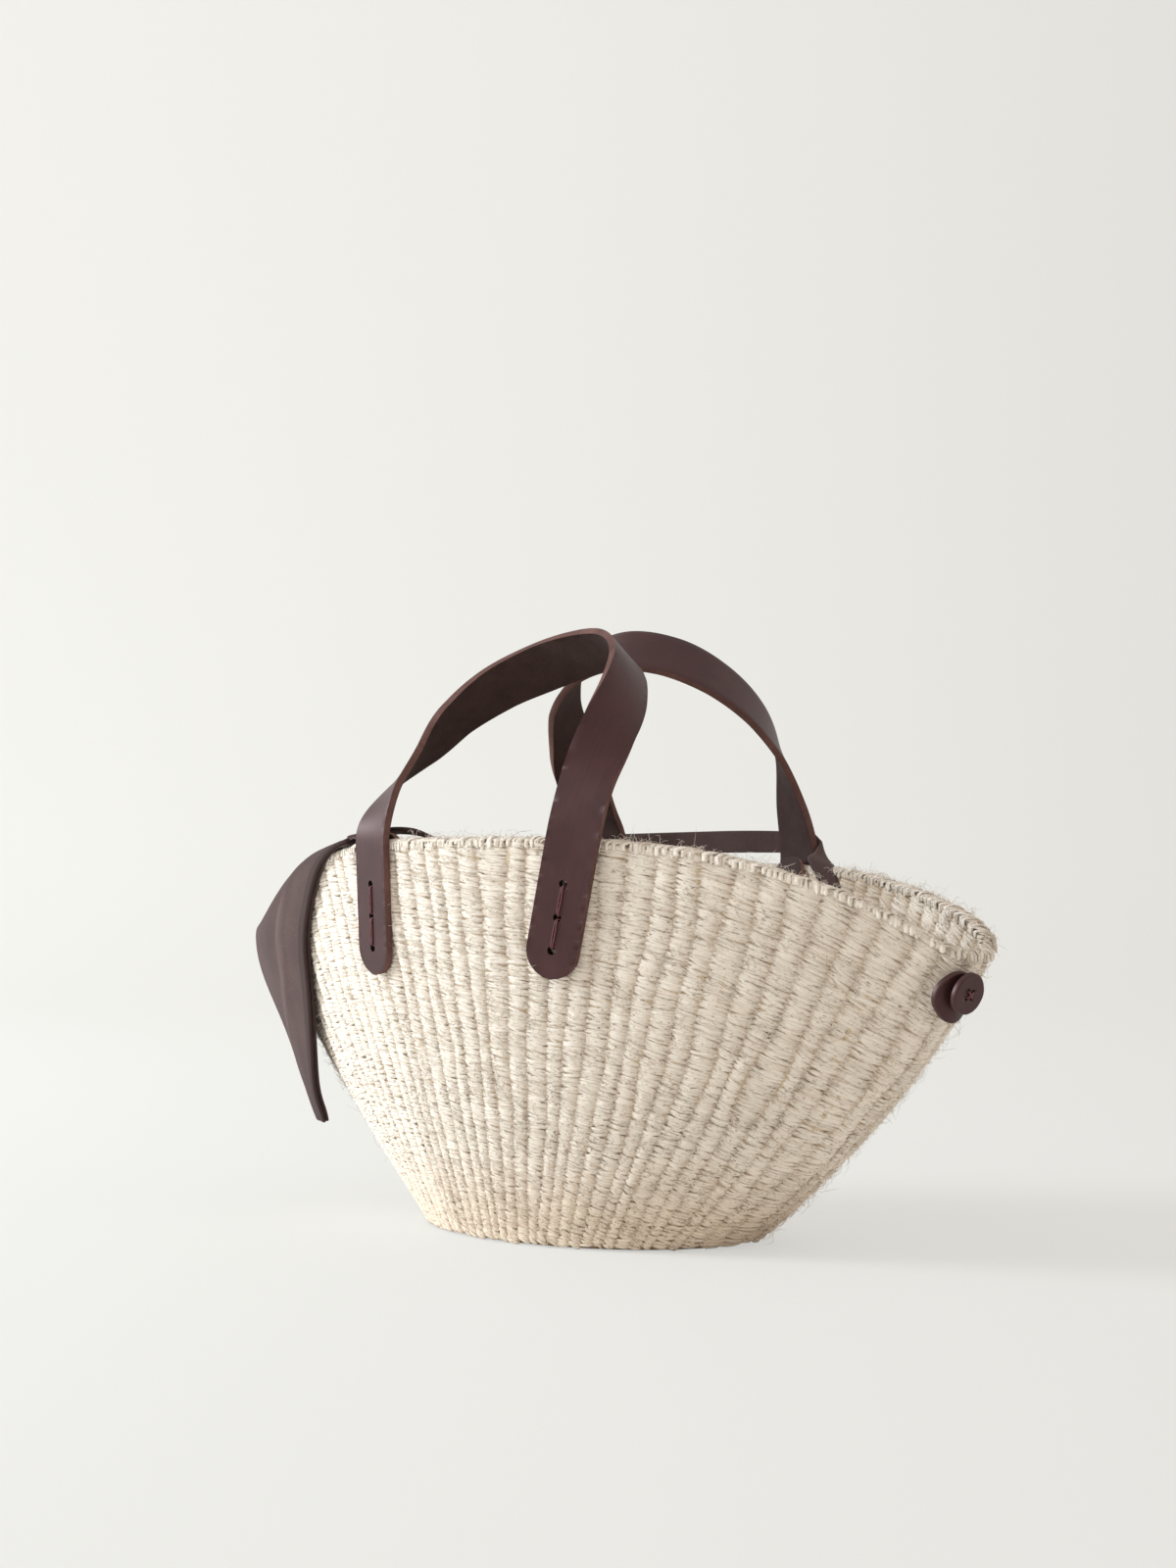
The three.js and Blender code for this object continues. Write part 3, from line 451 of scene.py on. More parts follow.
class Finish:
    """A material whose surface is one Principled shader, with short ways to add nodes."""

    def __init__(self, name, roughness, **constants):
        self.material = bpy.data.materials.new(name)
        self.material.use_nodes = True
        self.tree = self.material.node_tree
        self.shader = self.tree.nodes["Principled BSDF"]
        self.shader.inputs["Roughness"].default_value = roughness
        for key, value in constants.items():
            self.shader.inputs[socket_name(key)].default_value = value

    def node(self, kind, settings, *values, out=0, **named):
        made = self.tree.nodes.new(kind)
        for key, value in settings.items():
            setattr(made, key, value)
        for place, value in [*enumerate(values), *named.items()]:
            socket = made.inputs[place if isinstance(place, int) else socket_name(place)]
            if isinstance(value, Number):
                self.tree.links.new(value.socket, socket)
            elif value is not None:
                socket.default_value = value
        return Number(self, made.outputs[out])

    def place(self):
        return self.node("ShaderNodeTexCoord", {}, out="Object")

    def surface(self):
        return self.node("ShaderNodeUVMap", {"uv_map": "Surface"})

    def value(self, name):
        return self.node("ShaderNodeAttribute", {"attribute_name": name}, out="Fac")

    def part(self, vector, axis):
        return self.node("ShaderNodeSeparateXYZ", {}, vector, out=axis)

    def stretched(self, vector, scale):
        return self.node("ShaderNodeVectorMath", {"operation": "MULTIPLY"}, vector, scale)

    def noise(self, vector, scale, detail=2.0, roughness=0.5):
        looks = {"Scale": scale, "Detail": detail, "Roughness": roughness}
        return self.node("ShaderNodeTexNoise", {}, Vector=vector, **looks)

    def blend(self, share, first, second):
        """A colour between two, by a share from 0 to 1."""
        made = self.tree.nodes.new("ShaderNodeMix")
        made.data_type = "RGBA"
        for place, value in ((0, share), (6, first), (7, second)):
            if isinstance(value, Number):
                self.tree.links.new(value.socket, made.inputs[place])
            elif place:
                made.inputs[place].default_value = (*value, 1)
            else:
                made.inputs[place].default_value = value
        return Number(self, made.outputs[2])

    def drive(self, socket, value):
        self.tree.links.new(value.socket, self.shader.inputs[socket])

    def bump(self, height, depth, strength=1.0):
        made = self.node("ShaderNodeBump", {}, Strength=strength, Distance=depth, Height=height)
        self.drive("Normal", made)


def yarn_finish(name, lit, deep, warm):
    """Soft cream yarn with fibres and dark flecks: its lit colour on each rib's crest, with painted shade in
    the valleys, inside the bag and low on the wall.
    """
    finish = Finish(name, 0.95, sheen_weight=0.12, sheen_roughness=0.6, specular_ior_level=0.1)
    spot = finish.place()
    skin = finish.surface()
    tone = finish.value("tone")
    depth = finish.value("depth")
    patches = finish.noise(spot, 55.0, 2.0)
    fine = finish.noise(spot, 1500.0, 2.0, 0.7)
    fibres = finish.noise(finish.stretched(skin, (7.0, 22.0, 1.0)), 1.0, 3.0, 0.75)
    # Painted shade: darker where the yarn sinks into a valley, and by each strand's tone, which is random and
    # also holds painted shade inside the bag.
    shade = depth ** 1.8 * 0.42 + tone * 0.28 + (patches - 0.5) * 0.45
    shade = shade + (fine - 0.5) * 0.7 + (fibres - 0.5) * 0.8
    colour = finish.blend(shade.between(0.0, 1.0), lit, deep)
    # Painted shade towards the floor: the yarn turns browner and darker low on the wall.
    height = finish.part(spot, "Z")
    low = 1 - height.between(2 * MM, 45 * MM)
    colour = finish.blend(low * 0.5, colour, warm)
    streak = finish.noise(finish.stretched(skin, (4.0, 9.0, 1.0)), 1.0, 1.0)
    clump = finish.noise(spot, 130.0, 1.0)
    specks = (streak + clump * 0.35 + depth * 0.06).between(0.82, 0.88) * 0.72
    colour = finish.blend(specks, colour, (0.16, 0.095, 0.048))
    finish.drive("Base Color", colour)
    finish.bump(fibres * 0.8 + fine * 0.6, 0.3 * MM, 0.6)
    return finish.material


def grain_finish(name, colour, sheen):
    """Smooth dyed leather with a fine pebble and slow changes of tone."""
    finish = Finish(name, 0.42, specular_ior_level=0.55, specular_tint=(1.0, 0.66, 0.62, 1.0))
    skin = finish.stretched(finish.surface(), (STRAP_WIDTH / MM, GRAIN_LENGTH / MM, 1.0))
    slow = finish.noise(skin, 0.06, 2.0)
    pebble = finish.noise(skin, 2.6, 3.0, 0.6)
    streak = finish.noise(finish.stretched(skin, (1.0, 0.12, 1.0)), 0.9, 2.0)
    tone = (slow - 0.5) * 1.1 + (streak - 0.5) * 0.5 + (pebble - 0.5) * 0.25 + 0.45
    finish.drive("Base Color", finish.blend(tone.between(0.0, 1.0), colour, sheen))
    finish.drive("Roughness", 0.33 + pebble * 0.14 + slow * 0.08)
    finish.bump(pebble * 0.6 + streak * 0.15, 0.12 * MM, 0.6)
    return finish.material


def flesh_finish(name, dark, light):
    """The rough side or the cut edge of leather: matte, with short fibres."""
    finish = Finish(name, 0.85, specular_ior_level=0.2)
    spot = finish.place()
    fuzz = finish.noise(spot, 1400.0, 4.0, 0.75)
    slow = finish.noise(spot, 120.0, 2.0)
    tone = (fuzz - 0.5) * 0.9 + (slow - 0.5) * 0.6 + 0.5
    finish.drive("Base Color", finish.blend(tone.between(0.0, 1.0), dark, light))
    finish.bump(fuzz, 0.3 * MM, 0.8)
    return finish.material


def cloth_finish():
    """Dark brushed cotton: a fine twill, faintly mottled."""
    finish = Finish("sash_cloth", 0.95, sheen_weight=0.08, sheen_roughness=0.5, specular_ior_level=0.08)
    skin = finish.surface()
    across = finish.part(skin, "X")
    along = finish.part(skin, "Y")
    twill = ((across + along) * (2 * math.pi / 0.9)).sine()
    threads = (along * (2 * math.pi / 0.55)).sine()
    mottle = finish.noise(skin, 1.1, 3.0, 0.75)
    slow = finish.noise(skin, 0.05, 2.0)
    # The attribute added to the sash paints a highlight along the tail's crease and painted shade on the
    # rolled hems.
    tone = (mottle - 0.5) * 1.1 + (slow - 0.5) * 0.5 + twill * 0.12 + finish.value("crease_highlight_and_hem_shade") * 0.8 + 0.5
    colour = finish.blend(tone.between(0.0, 1.0), (0.048, 0.029, 0.028), (0.122, 0.081, 0.078))
    finish.drive("Base Color", colour)
    finish.bump(twill * 0.35 + threads * 0.15 + mottle * 0.8, 0.10 * MM, 0.7)
    return finish.material


def thread_finish():
    finish = Finish("thread", 0.6, specular_ior_level=0.4)
    spot = finish.place()
    ply = finish.noise(spot, 2500.0, 2.0)
    colour = finish.blend(ply.between(0.3, 0.7), (0.075, 0.018, 0.022), (0.19, 0.062, 0.07))
    finish.drive("Base Color", colour)
    finish.bump(ply, 0.1 * MM, 0.8)
    return finish.material


def background_rays(tree):
    """1 for rays that show the background: from the camera, mirrored, or through something clear."""
    rays = tree.nodes.new("ShaderNodeLightPath")
    seen = rays.outputs["Is Camera Ray"]
    for kind in ("Is Glossy Ray", "Is Transmission Ray"):
        either = tree.nodes.new("ShaderNodeMath")
        either.operation = "MAXIMUM"
        tree.links.new(seen, either.inputs[0])
        tree.links.new(rays.outputs[kind], either.inputs[1])
        seen = either.outputs[0]
    return seen


def backdrop_finish():
    """A pale floor and wall. They light the bag as plain paper would; the camera sees them with a painted
    glow, brightest in the upper left of the picture, over a faint lit part that keeps the bag's shadow.
    """
    finish = Finish("backdrop", 0.95, specular_ior_level=0.1, emission_strength=1.0)
    seen = Number(finish, background_rays(finish.tree))
    bright = finish.value("bright")
    finish.drive("Base Color", finish.blend(seen, (0.92, 0.90, 0.86), (0.26, 0.26, 0.254)))
    glow = finish.blend(bright, (0.476, 0.472, 0.458), (0.648, 0.652, 0.628))
    finish.drive("Emission Color", finish.blend(seen, (0.0, 0.0, 0.0), glow))
    return finish.material


# The yarn's colours: lit on the crests, painted shade in the valleys, painted shade low on the wall.
YARN = yarn_finish("basket_yarn", (0.86, 0.79, 0.71), (0.58, 0.46, 0.345), (0.80, 0.64, 0.48))
# The core is a darker tan: painted shade for the gaps between the yarn strands.
CORE = yarn_finish("basket_core", (0.62, 0.51, 0.38), (0.36, 0.26, 0.17), (0.40, 0.28, 0.17))
GRAIN = grain_finish("leather_grain", (0.022, 0.0068, 0.0082), (0.050, 0.0175, 0.0195))
FLESH = flesh_finish("leather_flesh", (0.030, 0.017, 0.016), (0.070, 0.041, 0.037))
CUT_EDGE = flesh_finish("leather_cut_edge", (0.075, 0.034, 0.030), (0.19, 0.100, 0.088))
# Near black hole walls: painted shade inside the punched holes.
HOLE_SHADE = flesh_finish("leather_hole_shade", (0.006, 0.003, 0.003), (0.016, 0.008, 0.007))
PATCH_EDGE = flesh_finish("leather_patch_edge", (0.24, 0.12, 0.105), (0.42, 0.25, 0.22))
CLOTH = cloth_finish()
THREAD = thread_finish()


# Basket
def basket_core():
    """The closed inner shell under the yarn: ribs outside and in, floor and rim."""
    per_rib = 6
    columns = np.arange(RIBS * per_rib) * 2 / per_rib
    angles = column_angle(columns)
    crest = np.cos(columns * math.pi) * 0.5 + 0.5
    inset = 0.5 * MM

    def wall_ring(level, shell, side):
        place = np.clip(level, 0.01, 0.99)
        out = wall_out(angles, place, shell) * side
        ring = wall_point(angles, level, shell)
        return ring - out * (inset + (1 - crest[:, None]) * VALLEY_DEPTH * 0.85)

    def floor_ring(share, height):
        ring = wall_point(angles, 0.0) * share
        ring[:, 2] = height
        return ring

    rings = [floor_ring(share, 0.2 * MM) for share in (0.02, 0.3, 0.6, 0.85, 0.93)]
    rings += [wall_ring(level, CREST, 1) for level in np.linspace(0.012, 0.992, 34)]
    outer = wall_point(angles, 1.0)
    inner = wall_point(angles, 1.0, LINING)
    top = mix(outer, inner, 0.5)
    top[:, 2] += RIM_CROWN - 1.9 * MM + crest * 0.4 * MM
    rings.append(top)
    for level in np.linspace(0.985, 0.04, 28):
        rings.append(wall_ring(level, LINING, -1))
    rings += [floor_ring(share, FLOOR - 0.3 * MM) for share in (0.86, 0.6, 0.3, 0.02)]
    grid = np.stack(rings)
    rows, cols = grid.shape[:2]
    faces = [grid_faces(rows, cols, wrap=True), pole_faces(rows, cols)]
    poles = np.array([[0, 0, 0.2 * MM], [0, 0, FLOOR - 0.3 * MM]])
    points = np.concatenate([grid.reshape(-1, 3), poles])
    piece = mesh_piece("basket_core", points, faces)
    # Painted shade: the core is darker in the valleys between the ribs.
    add_values(piece, "depth", np.r_[np.tile(1 - crest, rows), 0, 0])
    add_values(piece, "tone", np.full(len(points), 0.5))
    add_uv(piece, points[:, [0, 2]] * 200)
    return paint(piece, CORE)


YARN_SECTION = [(0.0, 1.0), (0.92, 0.45), (0.62, -0.75), (-0.62, -0.75), (-0.92, 0.45)]
HAIR_SECTION = [(0, 1), (0.87, -0.5), (-0.87, -0.5)]


def slow_noise(rng, rows, period):
    """A function of (row index, place): smooth random values of about -1 to 1 that change over the period."""
    knots = int(1 / period) + 4
    values = rng.normal(0, 0.6, (rows, knots))

    def at(row, place):
        s = np.clip(place, 0, 1) / period + 1
        k = s.astype(int)
        f = smooth(s - k)
        return mix(values[row % rows, k], values[row % rows, k + 1], f)

    return at


def yarn_levels(rng, row, rows, shift, facing):
    """How high each strand lies: rows staggered from rib to rib and a little uneven."""
    low_level = 0.008 if facing > 0 else FLOOR / RIM_SIDE_HEIGHT + 0.02
    uneven = rng.normal(0, 0.16, len(row))
    level = low_level + (0.99 - low_level) * (row + 0.5 + shift * 0.9 + uneven) / rows
    return np.clip(level, low_level, 0.987)


def yarn_run(rng, rib, level, drift, share, pitch, facing):
    """Angle and level along each strand, slanted from the valley on one side of its rib to the next."""
    n, rings = len(rib), len(share)
    left = 2 * rib - 1 + 0.36 * drift(rib, level)
    right = 2 * rib + 1 + 0.36 * drift(rib + 1, level)
    reach = 1.06 + rng.uniform(-0.08, 0.10, n)
    column = ((left + right) / 2)[:, None] + share * (reach * (right - left) / 2)[:, None]
    slant = (YARN_SLANT + rng.normal(0, 0.42, n)) * facing
    wobble = rng.normal(0, 0.14, (n, rings)) * pitch
    levels = level[:, None] - (share * (slant * pitch)[:, None] + wobble) / SLOPE_LENGTH
    return column_angle(column), np.clip(levels, 0.004, 0.996)


def yarn_rise(rng, rib, level, swell, sink):
    """How far the middle of each strand stands out of the wall: high on the rib, sunk into its valleys."""
    n, rings = len(rib), len(sink)
    depth = VALLEY_DEPTH * (1 + 0.35 * swell(rib, level)) * mix(0.55, 1.0, smooth(level * 2.2))
    lift = rng.normal(0, 0.10 * MM, (n, 1)) + rng.normal(0, 0.05 * MM, (n, rings)) - YARN_HALF_DEPTH
    return lift + 0.25 * MM * swell(rib, level)[:, None] - depth[:, None] * sink


def yarn_tone(rng, rib, facing):
    """Each strand's tone, random from strand to strand. Inside, the yarn is darker with painted shade, and
    darkest with a painted shadow beside the back right strap.
    """
    band_shadow = np.exp(-(((np.degrees(column_angle(2 * rib)) - 64) / 20) ** 2))
    shade = 0.0 if facing > 0 else 0.4 + 1.8 * band_shadow
    return np.clip(rng.normal(0.35, 0.4, len(rib)), -0.6, 1.5) + shade


def yarn_rows(name, shell, facing, first_rib, last_rib, rings, pitch, seed):
    """Weft yarn over a run of ribs: one short slanted strand over each rib in each row."""
    rng = np.random.default_rng(seed)
    common = np.random.default_rng(SHARED_SEED)
    drift = slow_noise(common, RIBS, 0.16)
    swell = slow_noise(common, RIBS, 0.22)
    rows = int(SLOPE_LENGTH / pitch)
    ribs = np.arange(first_rib, last_rib)
    rib, row = [a.ravel() for a in np.meshgrid(ribs, np.arange(rows), indexing="ij")]
    n = len(rib)
    shift = common.uniform(-0.5, 0.5, RIBS + 1)[rib % RIBS]
    level = yarn_levels(rng, row, rows, shift, facing)
    share = np.linspace(-1, 1, rings)
    sink = np.abs(share) ** 2.0
    angle, levels = yarn_run(rng, rib, level, drift, share, pitch, facing)
    out = wall_out(angle, np.clip(levels, 0.01, 0.99), shell) * facing
    centres = wall_point(angle, levels, shell) + out * yarn_rise(rng, rib, level, swell, sink)[..., None]
    ups = unit(np.cross(np.gradient(centres, axis=1), out)) * -facing
    taper = 1 - 0.16 * np.abs(share) ** 3
    thick = 0.5 * pitch * (1.5 + rng.normal(0, 0.2, (n, 1)) + rng.normal(0, 0.08, (n, rings))) * taper
    deep = YARN_HALF_DEPTH * (1 + rng.normal(0, 0.10, (n, 1))) * taper
    points, faces, uv, each = swept_strands(centres, ups, out, thick, deep, YARN_SECTION)
    points[:, 2] = np.maximum(points[:, 2], 0.25 * MM)
    piece = mesh_piece(name, points, faces)
    uv[:, 0] += np.repeat(rng.uniform(0, 20, n), each)
    add_uv(piece, uv)
    # Painted shade: strands are darker where their ends sink into the valleys, and by their tone, which also
    # holds painted shade inside the bag.
    add_values(piece, "depth", np.tile(np.r_[np.repeat(sink, len(YARN_SECTION)), 1, 1], n))
    add_values(piece, "tone", np.repeat(yarn_tone(rng, rib, facing), each))
    return paint(piece, YARN)


def rim_loops():
    """Yarn laid over the rim in slanted loops, from the outside of the wall to the inside."""
    rng = np.random.default_rng(31)
    n = RIBS * LOOPS_PER_RIB
    column = np.arange(n) * 2 / LOOPS_PER_RIB + rng.uniform(-0.08, 0.08, n)
    crest = np.cos(column * math.pi) * 0.5 + 0.5
    turn = np.radians([-112, -72, -36, 0, 36, 72, 112])
    lean = rng.normal(0.5, 0.35, n)[:, None] * np.sin(turn)
    angle = column_angle(column[:, None] + lean)
    outer = wall_point(angle, 1.0)
    inner = wall_point(angle, 1.0, LINING)
    middle = mix(outer, inner, 0.5)
    half = np.linalg.norm(outer - inner, axis=-1) / 2
    out = wall_out(angle, 0.97)
    flat = unit(out * [1, 1, 0])
    drop = (2.4 + rng.normal(0, 0.9, n))[:, None] * MM
    swell = (crest * 0.45 * MM + rng.normal(0, 0.22 * MM, n))[:, None]
    reach = half - 0.2 * MM - (1 - crest)[:, None] * 0.5 * MM + rng.normal(0, 0.15 * MM, (n, 1))
    side = -np.sin(turn) * reach
    rise = np.maximum(np.cos(turn), -0.5) * (1.3 * MM + swell) + np.minimum(np.cos(turn), 0) * drop
    height = RIM_CROWN - 2.5 * MM + rise
    centres = middle + flat * side[..., None]
    centres[..., 2] += height
    away = unit(flat * (-np.sin(turn))[None, :, None] + np.array([0, 0, 1.0]) * np.cos(turn)[None, :, None])
    along = unit(np.gradient(centres, axis=1))
    sides = unit(np.cross(along, away))
    thick = np.full((n, len(turn)), 0.95 * MM) * (1 + rng.normal(0, 0.2, n))[:, None]
    deep = np.full((n, len(turn)), 0.34 * MM)
    points, faces, uv, each = swept_strands(centres, sides, away, thick, deep, YARN_SECTION)
    piece = mesh_piece("rim_loops", points, faces)
    uv[:, 0] += np.repeat(rng.uniform(0, 20, n), each)
    add_uv(piece, uv)
    # Painted shade: the loops are darker over the valleys between the ribs.
    add_values(piece, "depth", np.repeat((1 - crest) * 0.5, each))
    add_values(piece, "tone", np.repeat(rng.normal(0.45, 0.35, n), each))
    return paint(piece, YARN)


def uncovered(angle, level):
    """True where neither a strap end nor the sash lies over the wall."""
    spot = wall_point(angle, level)
    sash_middle = sum(FOLD_ANGLES) / 2 % 360
    sash_reach = (FOLD_ANGLES[0] - FOLD_ANGLES[1]) / 2 + 2
    bare = np.abs(np.degrees(angle) % 360 - sash_middle) > sash_reach
    for leg in LEGS.values():
        away = spot - leg["origin"]
        beside = np.abs(away @ leg["across"]) > STRAP_WIDTH / 2 + 2.5 * MM
        below = away @ leg["up"] < -STRAP_END_LENGTH - 2.5 * MM
        behind = np.abs(away @ leg["out"]) > 30 * MM
        bare &= beside | below | behind
    return bare


def hair_roots(rng, count, rim_only):
    """Where hairs grow, the way out of the wall there, and each one's length and how far it stands off."""
    angle = column_angle(rng.uniform(0, 2 * RIBS, count))
    level = rng.uniform(0.985, 1.0, count) if rim_only else rng.uniform(0.03, 0.99, count)
    bare = uncovered(angle, level)
    angle, level, n = angle[bare], level[bare], int(bare.sum())
    out = wall_out(angle, np.clip(level, 0.01, 0.99))
    root = wall_point(angle, level) - out * 0.5 * MM
    length = rng.gamma(2.4, 1.1 * MM, n) + 0.9 * MM
    stand = rng.uniform(0.1, 0.45, n)
    if rim_only:
        root = mix(root, wall_point(angle, level, LINING), rng.uniform(0, 1, n)[:, None])
        root[:, 2] -= 0.2 * MM
        out = unit(np.array([0, 0, 1.0]) + rng.normal(0, 0.45, (n, 3)))
        length = rng.gamma(2.2, 0.8 * MM, n) + 0.8 * MM
        stand = rng.uniform(0.2, 0.9, n)
    return root, out, length, stand


def loose_fibres(name, count, seed, rim_only):
    """Short stray hairs: most lie along the yarn, some stand off it. None grows under a strap or the sash."""
    rng = np.random.default_rng(seed)
    root, out, length, stand = hair_roots(rng, count, rim_only)
    n = len(root)
    steps = 4 if rim_only else 3
    lying = unit(rng.normal(0, 1, (n, 3)) * [1, 1, 0.7])
    lying = unit(lying - out * (lying * out).sum(1, keepdims=True))
    curl = unit(rng.normal(0, 1, (n, 3)))
    t = np.linspace(0, 1, steps)
    rise = np.sin(t * math.pi * 0.8) * stand[:, None]
    centres = root[:, None] + length[:, None, None] * (
        lying[:, None] * t[None, :, None]
        + out[:, None] * rise[..., None]
        + curl[:, None] * (t[None, :, None] ** 2 * 0.35)
    )
    centres[..., 2] = np.maximum(centres[..., 2], 0.4 * MM)
    along = unit(np.gradient(centres, axis=1))
    sides = unit(np.cross(along, np.broadcast_to(unit(curl + out)[:, None], along.shape)))
    ups = unit(np.cross(sides, along))
    thick = np.full((n, steps), HAIR_RADIUS) * np.linspace(1.2, 0.7, steps)
    points, faces, uv, each = swept_strands(centres, sides, ups, thick, thick, HAIR_SECTION)
    points[:, 2] = np.maximum(points[:, 2], 0.2 * MM)
    piece = mesh_piece(name, points, faces)
    add_uv(piece, uv)
    dark = rng.uniform(0, 1, n) < 0.18
    add_values(piece, "depth", np.repeat(np.where(dark, 1.0, 0.0), each))
    add_values(piece, "tone", np.repeat(np.where(dark, 1.6, rng.uniform(-0.8, 0.5, n)), each))
    return paint(piece, YARN)


# Straps
def strap_legs():
    """Where each strap end lies: a frame on the wall, its height over the wall and the lining's depth."""
    legs = {}
    for name, (x, side) in LEG_PLACES.items():
        angle = side * math.acos(x / RIM_LENGTH)
        rim = wall_point(angle, 1.0)
        leg = wall_frame(angle, 1 - STRAP_END_LENGTH / 2 / RIM_SIDE_HEIGHT, LEANS[name])
        leg["origin"] = rim - leg["out"] * ((rim - leg["origin"]) @ leg["out"])
        leg["seat"] = wall_reach(leg, CREST, np.max) + SEAT_GAP
        leg["lining"] = wall_reach(leg, LINING, np.min) - SEAT_GAP
        legs[name] = leg
    return legs


def wall_reach(leg, shell, pick):
    """How far the wall stands out from the frame, under the strap end."""
    p = wall_near(leg["angle"], shell) - leg["origin"]
    u, v, height = p @ leg["across"], p @ leg["up"], p @ leg["out"]
    covered = (np.abs(u) < STRAP_WIDTH / 2 + 1 * MM) & (v > -STRAP_END_LENGTH - 1 * MM)
    return pick(height[covered])


LEGS = strap_legs()


def strap_names(side):
    return ("front_left", "front_right") if side < 0 else ("back_left", "back_right")


def strap_middle(leg, height):
    """The middle of a strap end, so far above the rim."""
    return leg["origin"] + leg["up"] * height + leg["out"] * (leg["seat"] + STRAP_THICKNESS / 2)


def hinge(side):
    """Where a handle bends: its two strap middles just above the rim, and the line between them."""
    left, right = [strap_middle(LEGS[name], HINGE_ABOVE_RIM) for name in strap_names(side)]
    y = side * max(abs(left[1]), abs(right[1]))
    return {"left": left[0], "right": right[0], "y": y, "z": max(left[2], right[2])}


def through(rows, t):
    """Smooth values through rows of numbers, t from 0 to 1."""
    p = np.array(rows, float)
    p = np.vstack([2 * p[0] - p[1], p, 2 * p[-1] - p[-2]])
    spans = len(p) - 3
    s = np.clip(np.asarray(t, float), 0, 1) * spans
    k = np.minimum(s.astype(int), spans - 1)
    f = (s - k)[..., None]
    a, b, c, d = p[k], p[k + 1], p[k + 2], p[k + 3]
    bend = 2 * a - 5 * b + 4 * c - d
    twist = 3 * b - a - 3 * c + d
    return b + 0.5 * (f * (c - a) + f**2 * bend + f**3 * twist)


def strap_sides(side, along):
    """Directions across a strap's run: outwards from the bag, and up and away from the arch."""
    outward = unit(np.array([0, side, 0.0]) - along * (along[..., 1:2] * side))
    return outward, unit(np.cross(outward, along)) * -side


def arch_line(side):
    """Centre line and grain-side direction of a handle, from its left sewn end to its right."""
    left, right = [LEGS[name] for name in strap_names(side)]
    h, rise = hinge(side), HANDLE_RISE[side]
    middle, half = (h["left"] + h["right"]) / 2, (h["right"] - h["left"]) / 2

    def end_row(leg, height, along):
        outward, above = strap_sides(side, along)
        turn = math.degrees(math.atan2(leg["out"] @ above, leg["out"] @ outward))
        return [*strap_middle(leg, height), turn]

    rows = [end_row(left, -HANDLE_START, left["up"]), end_row(left, HANDLE_RELEASE, left["up"])]
    for x, inward, up, turn in HANDLE_LINES[side]:
        rows.append([middle + x * half, h["y"] - side * inward * rise, h["z"] + up * rise, turn])
    rows += [end_row(right, HANDLE_RELEASE, -right["up"]), end_row(right, -HANDLE_START, -right["up"])]
    arch = through(rows, np.linspace(0, 1, (len(rows) - 1) * ARCH_STEPS + 1))
    outward, above = strap_sides(side, unit(np.gradient(arch[:, :3], axis=0)))
    turn = np.radians(arch[:, 3:4])
    face = unit(outward * np.cos(turn) + above * np.sin(turn))
    return arch[ARCH_STEPS:-ARCH_STEPS, :3], face[ARCH_STEPS:-ARCH_STEPS]


def strap_line(side):
    """Centre line, grain-side direction and run of a whole strap, from its left lower end to its right."""
    centre, face = arch_line(side)
    ends = []
    for name in strap_names(side):
        leg = LEGS[name]
        line = strap_middle(leg, np.linspace(-STRAP_END_LENGTH, -1 * MM, 37)[:, None])
        ends.append((line, np.broadcast_to(leg["out"], line.shape)))
    line = np.vstack([ends[0][0], centre, ends[1][0][::-1]])
    faces = np.vstack([ends[0][1], face, ends[1][1][::-1]])
    run = np.r_[0, np.cumsum(np.linalg.norm(np.diff(line, axis=0), axis=1))]
    even = np.linspace(0, run[-1], int(run[-1] / (1.25 * MM)))
    line = np.stack([np.interp(even, run, line[:, k]) for k in range(3)], -1)
    faces = np.stack([np.interp(even, run, faces[:, k]) for k in range(3)], -1)
    reach = np.minimum(even, even[-1] - even)
    near = np.exp(-(((reach - STRAP_END_LENGTH - 3 * MM) / (9 * MM)) ** 2))[:, None]
    soft_line, soft_faces = line.copy(), faces.copy()
    for _ in range(12):
        for values in (soft_line, soft_faces):
            values[1:-1] += 0.5 * ((values[:-2] + values[2:]) / 2 - values[1:-1])
    return mix(line, soft_line, near), unit(mix(faces, soft_faces, near)), even


def leather_grid(name, columns, rows):
    """A flat grid of points across and along, to be bent to a leather strip, and where its points lie."""
    bpy.ops.object.select_all(action="DESELECT")
    bpy.ops.mesh.primitive_grid_add(x_subdivisions=columns - 1, y_subdivisions=rows - 1, size=1)
    piece = bpy.context.active_object
    piece.name = name
    piece.data.uv_layers[0].name = "Surface"
    co = np.zeros(len(piece.data.vertices) * 3)
    piece.data.vertices.foreach_get("co", co)
    return piece, co.reshape(-1, 3)


def cut_leather(piece, places, thickness, edge, holes):
    """Bends a painted grid to its places, thickens it, pierces it and rounds its edges."""
    piece.data.vertices.foreach_set("co", places.astype(np.float32).ravel())
    piece.data.update()
    finish_with(piece, "SOLIDIFY", thickness=thickness, offset=0.0, use_even_offset=True,
                material_offset=1, material_offset_rim=2)
    for leg, middle in holes:
        pierce(piece, leg, middle)
    finish_with(piece, "BEVEL", width=edge, segments=2, limit_method="ANGLE", angle_limit=math.radians(50))
    only(piece)
    bpy.ops.object.shade_smooth_by_angle(angle=math.radians(40))
    return piece


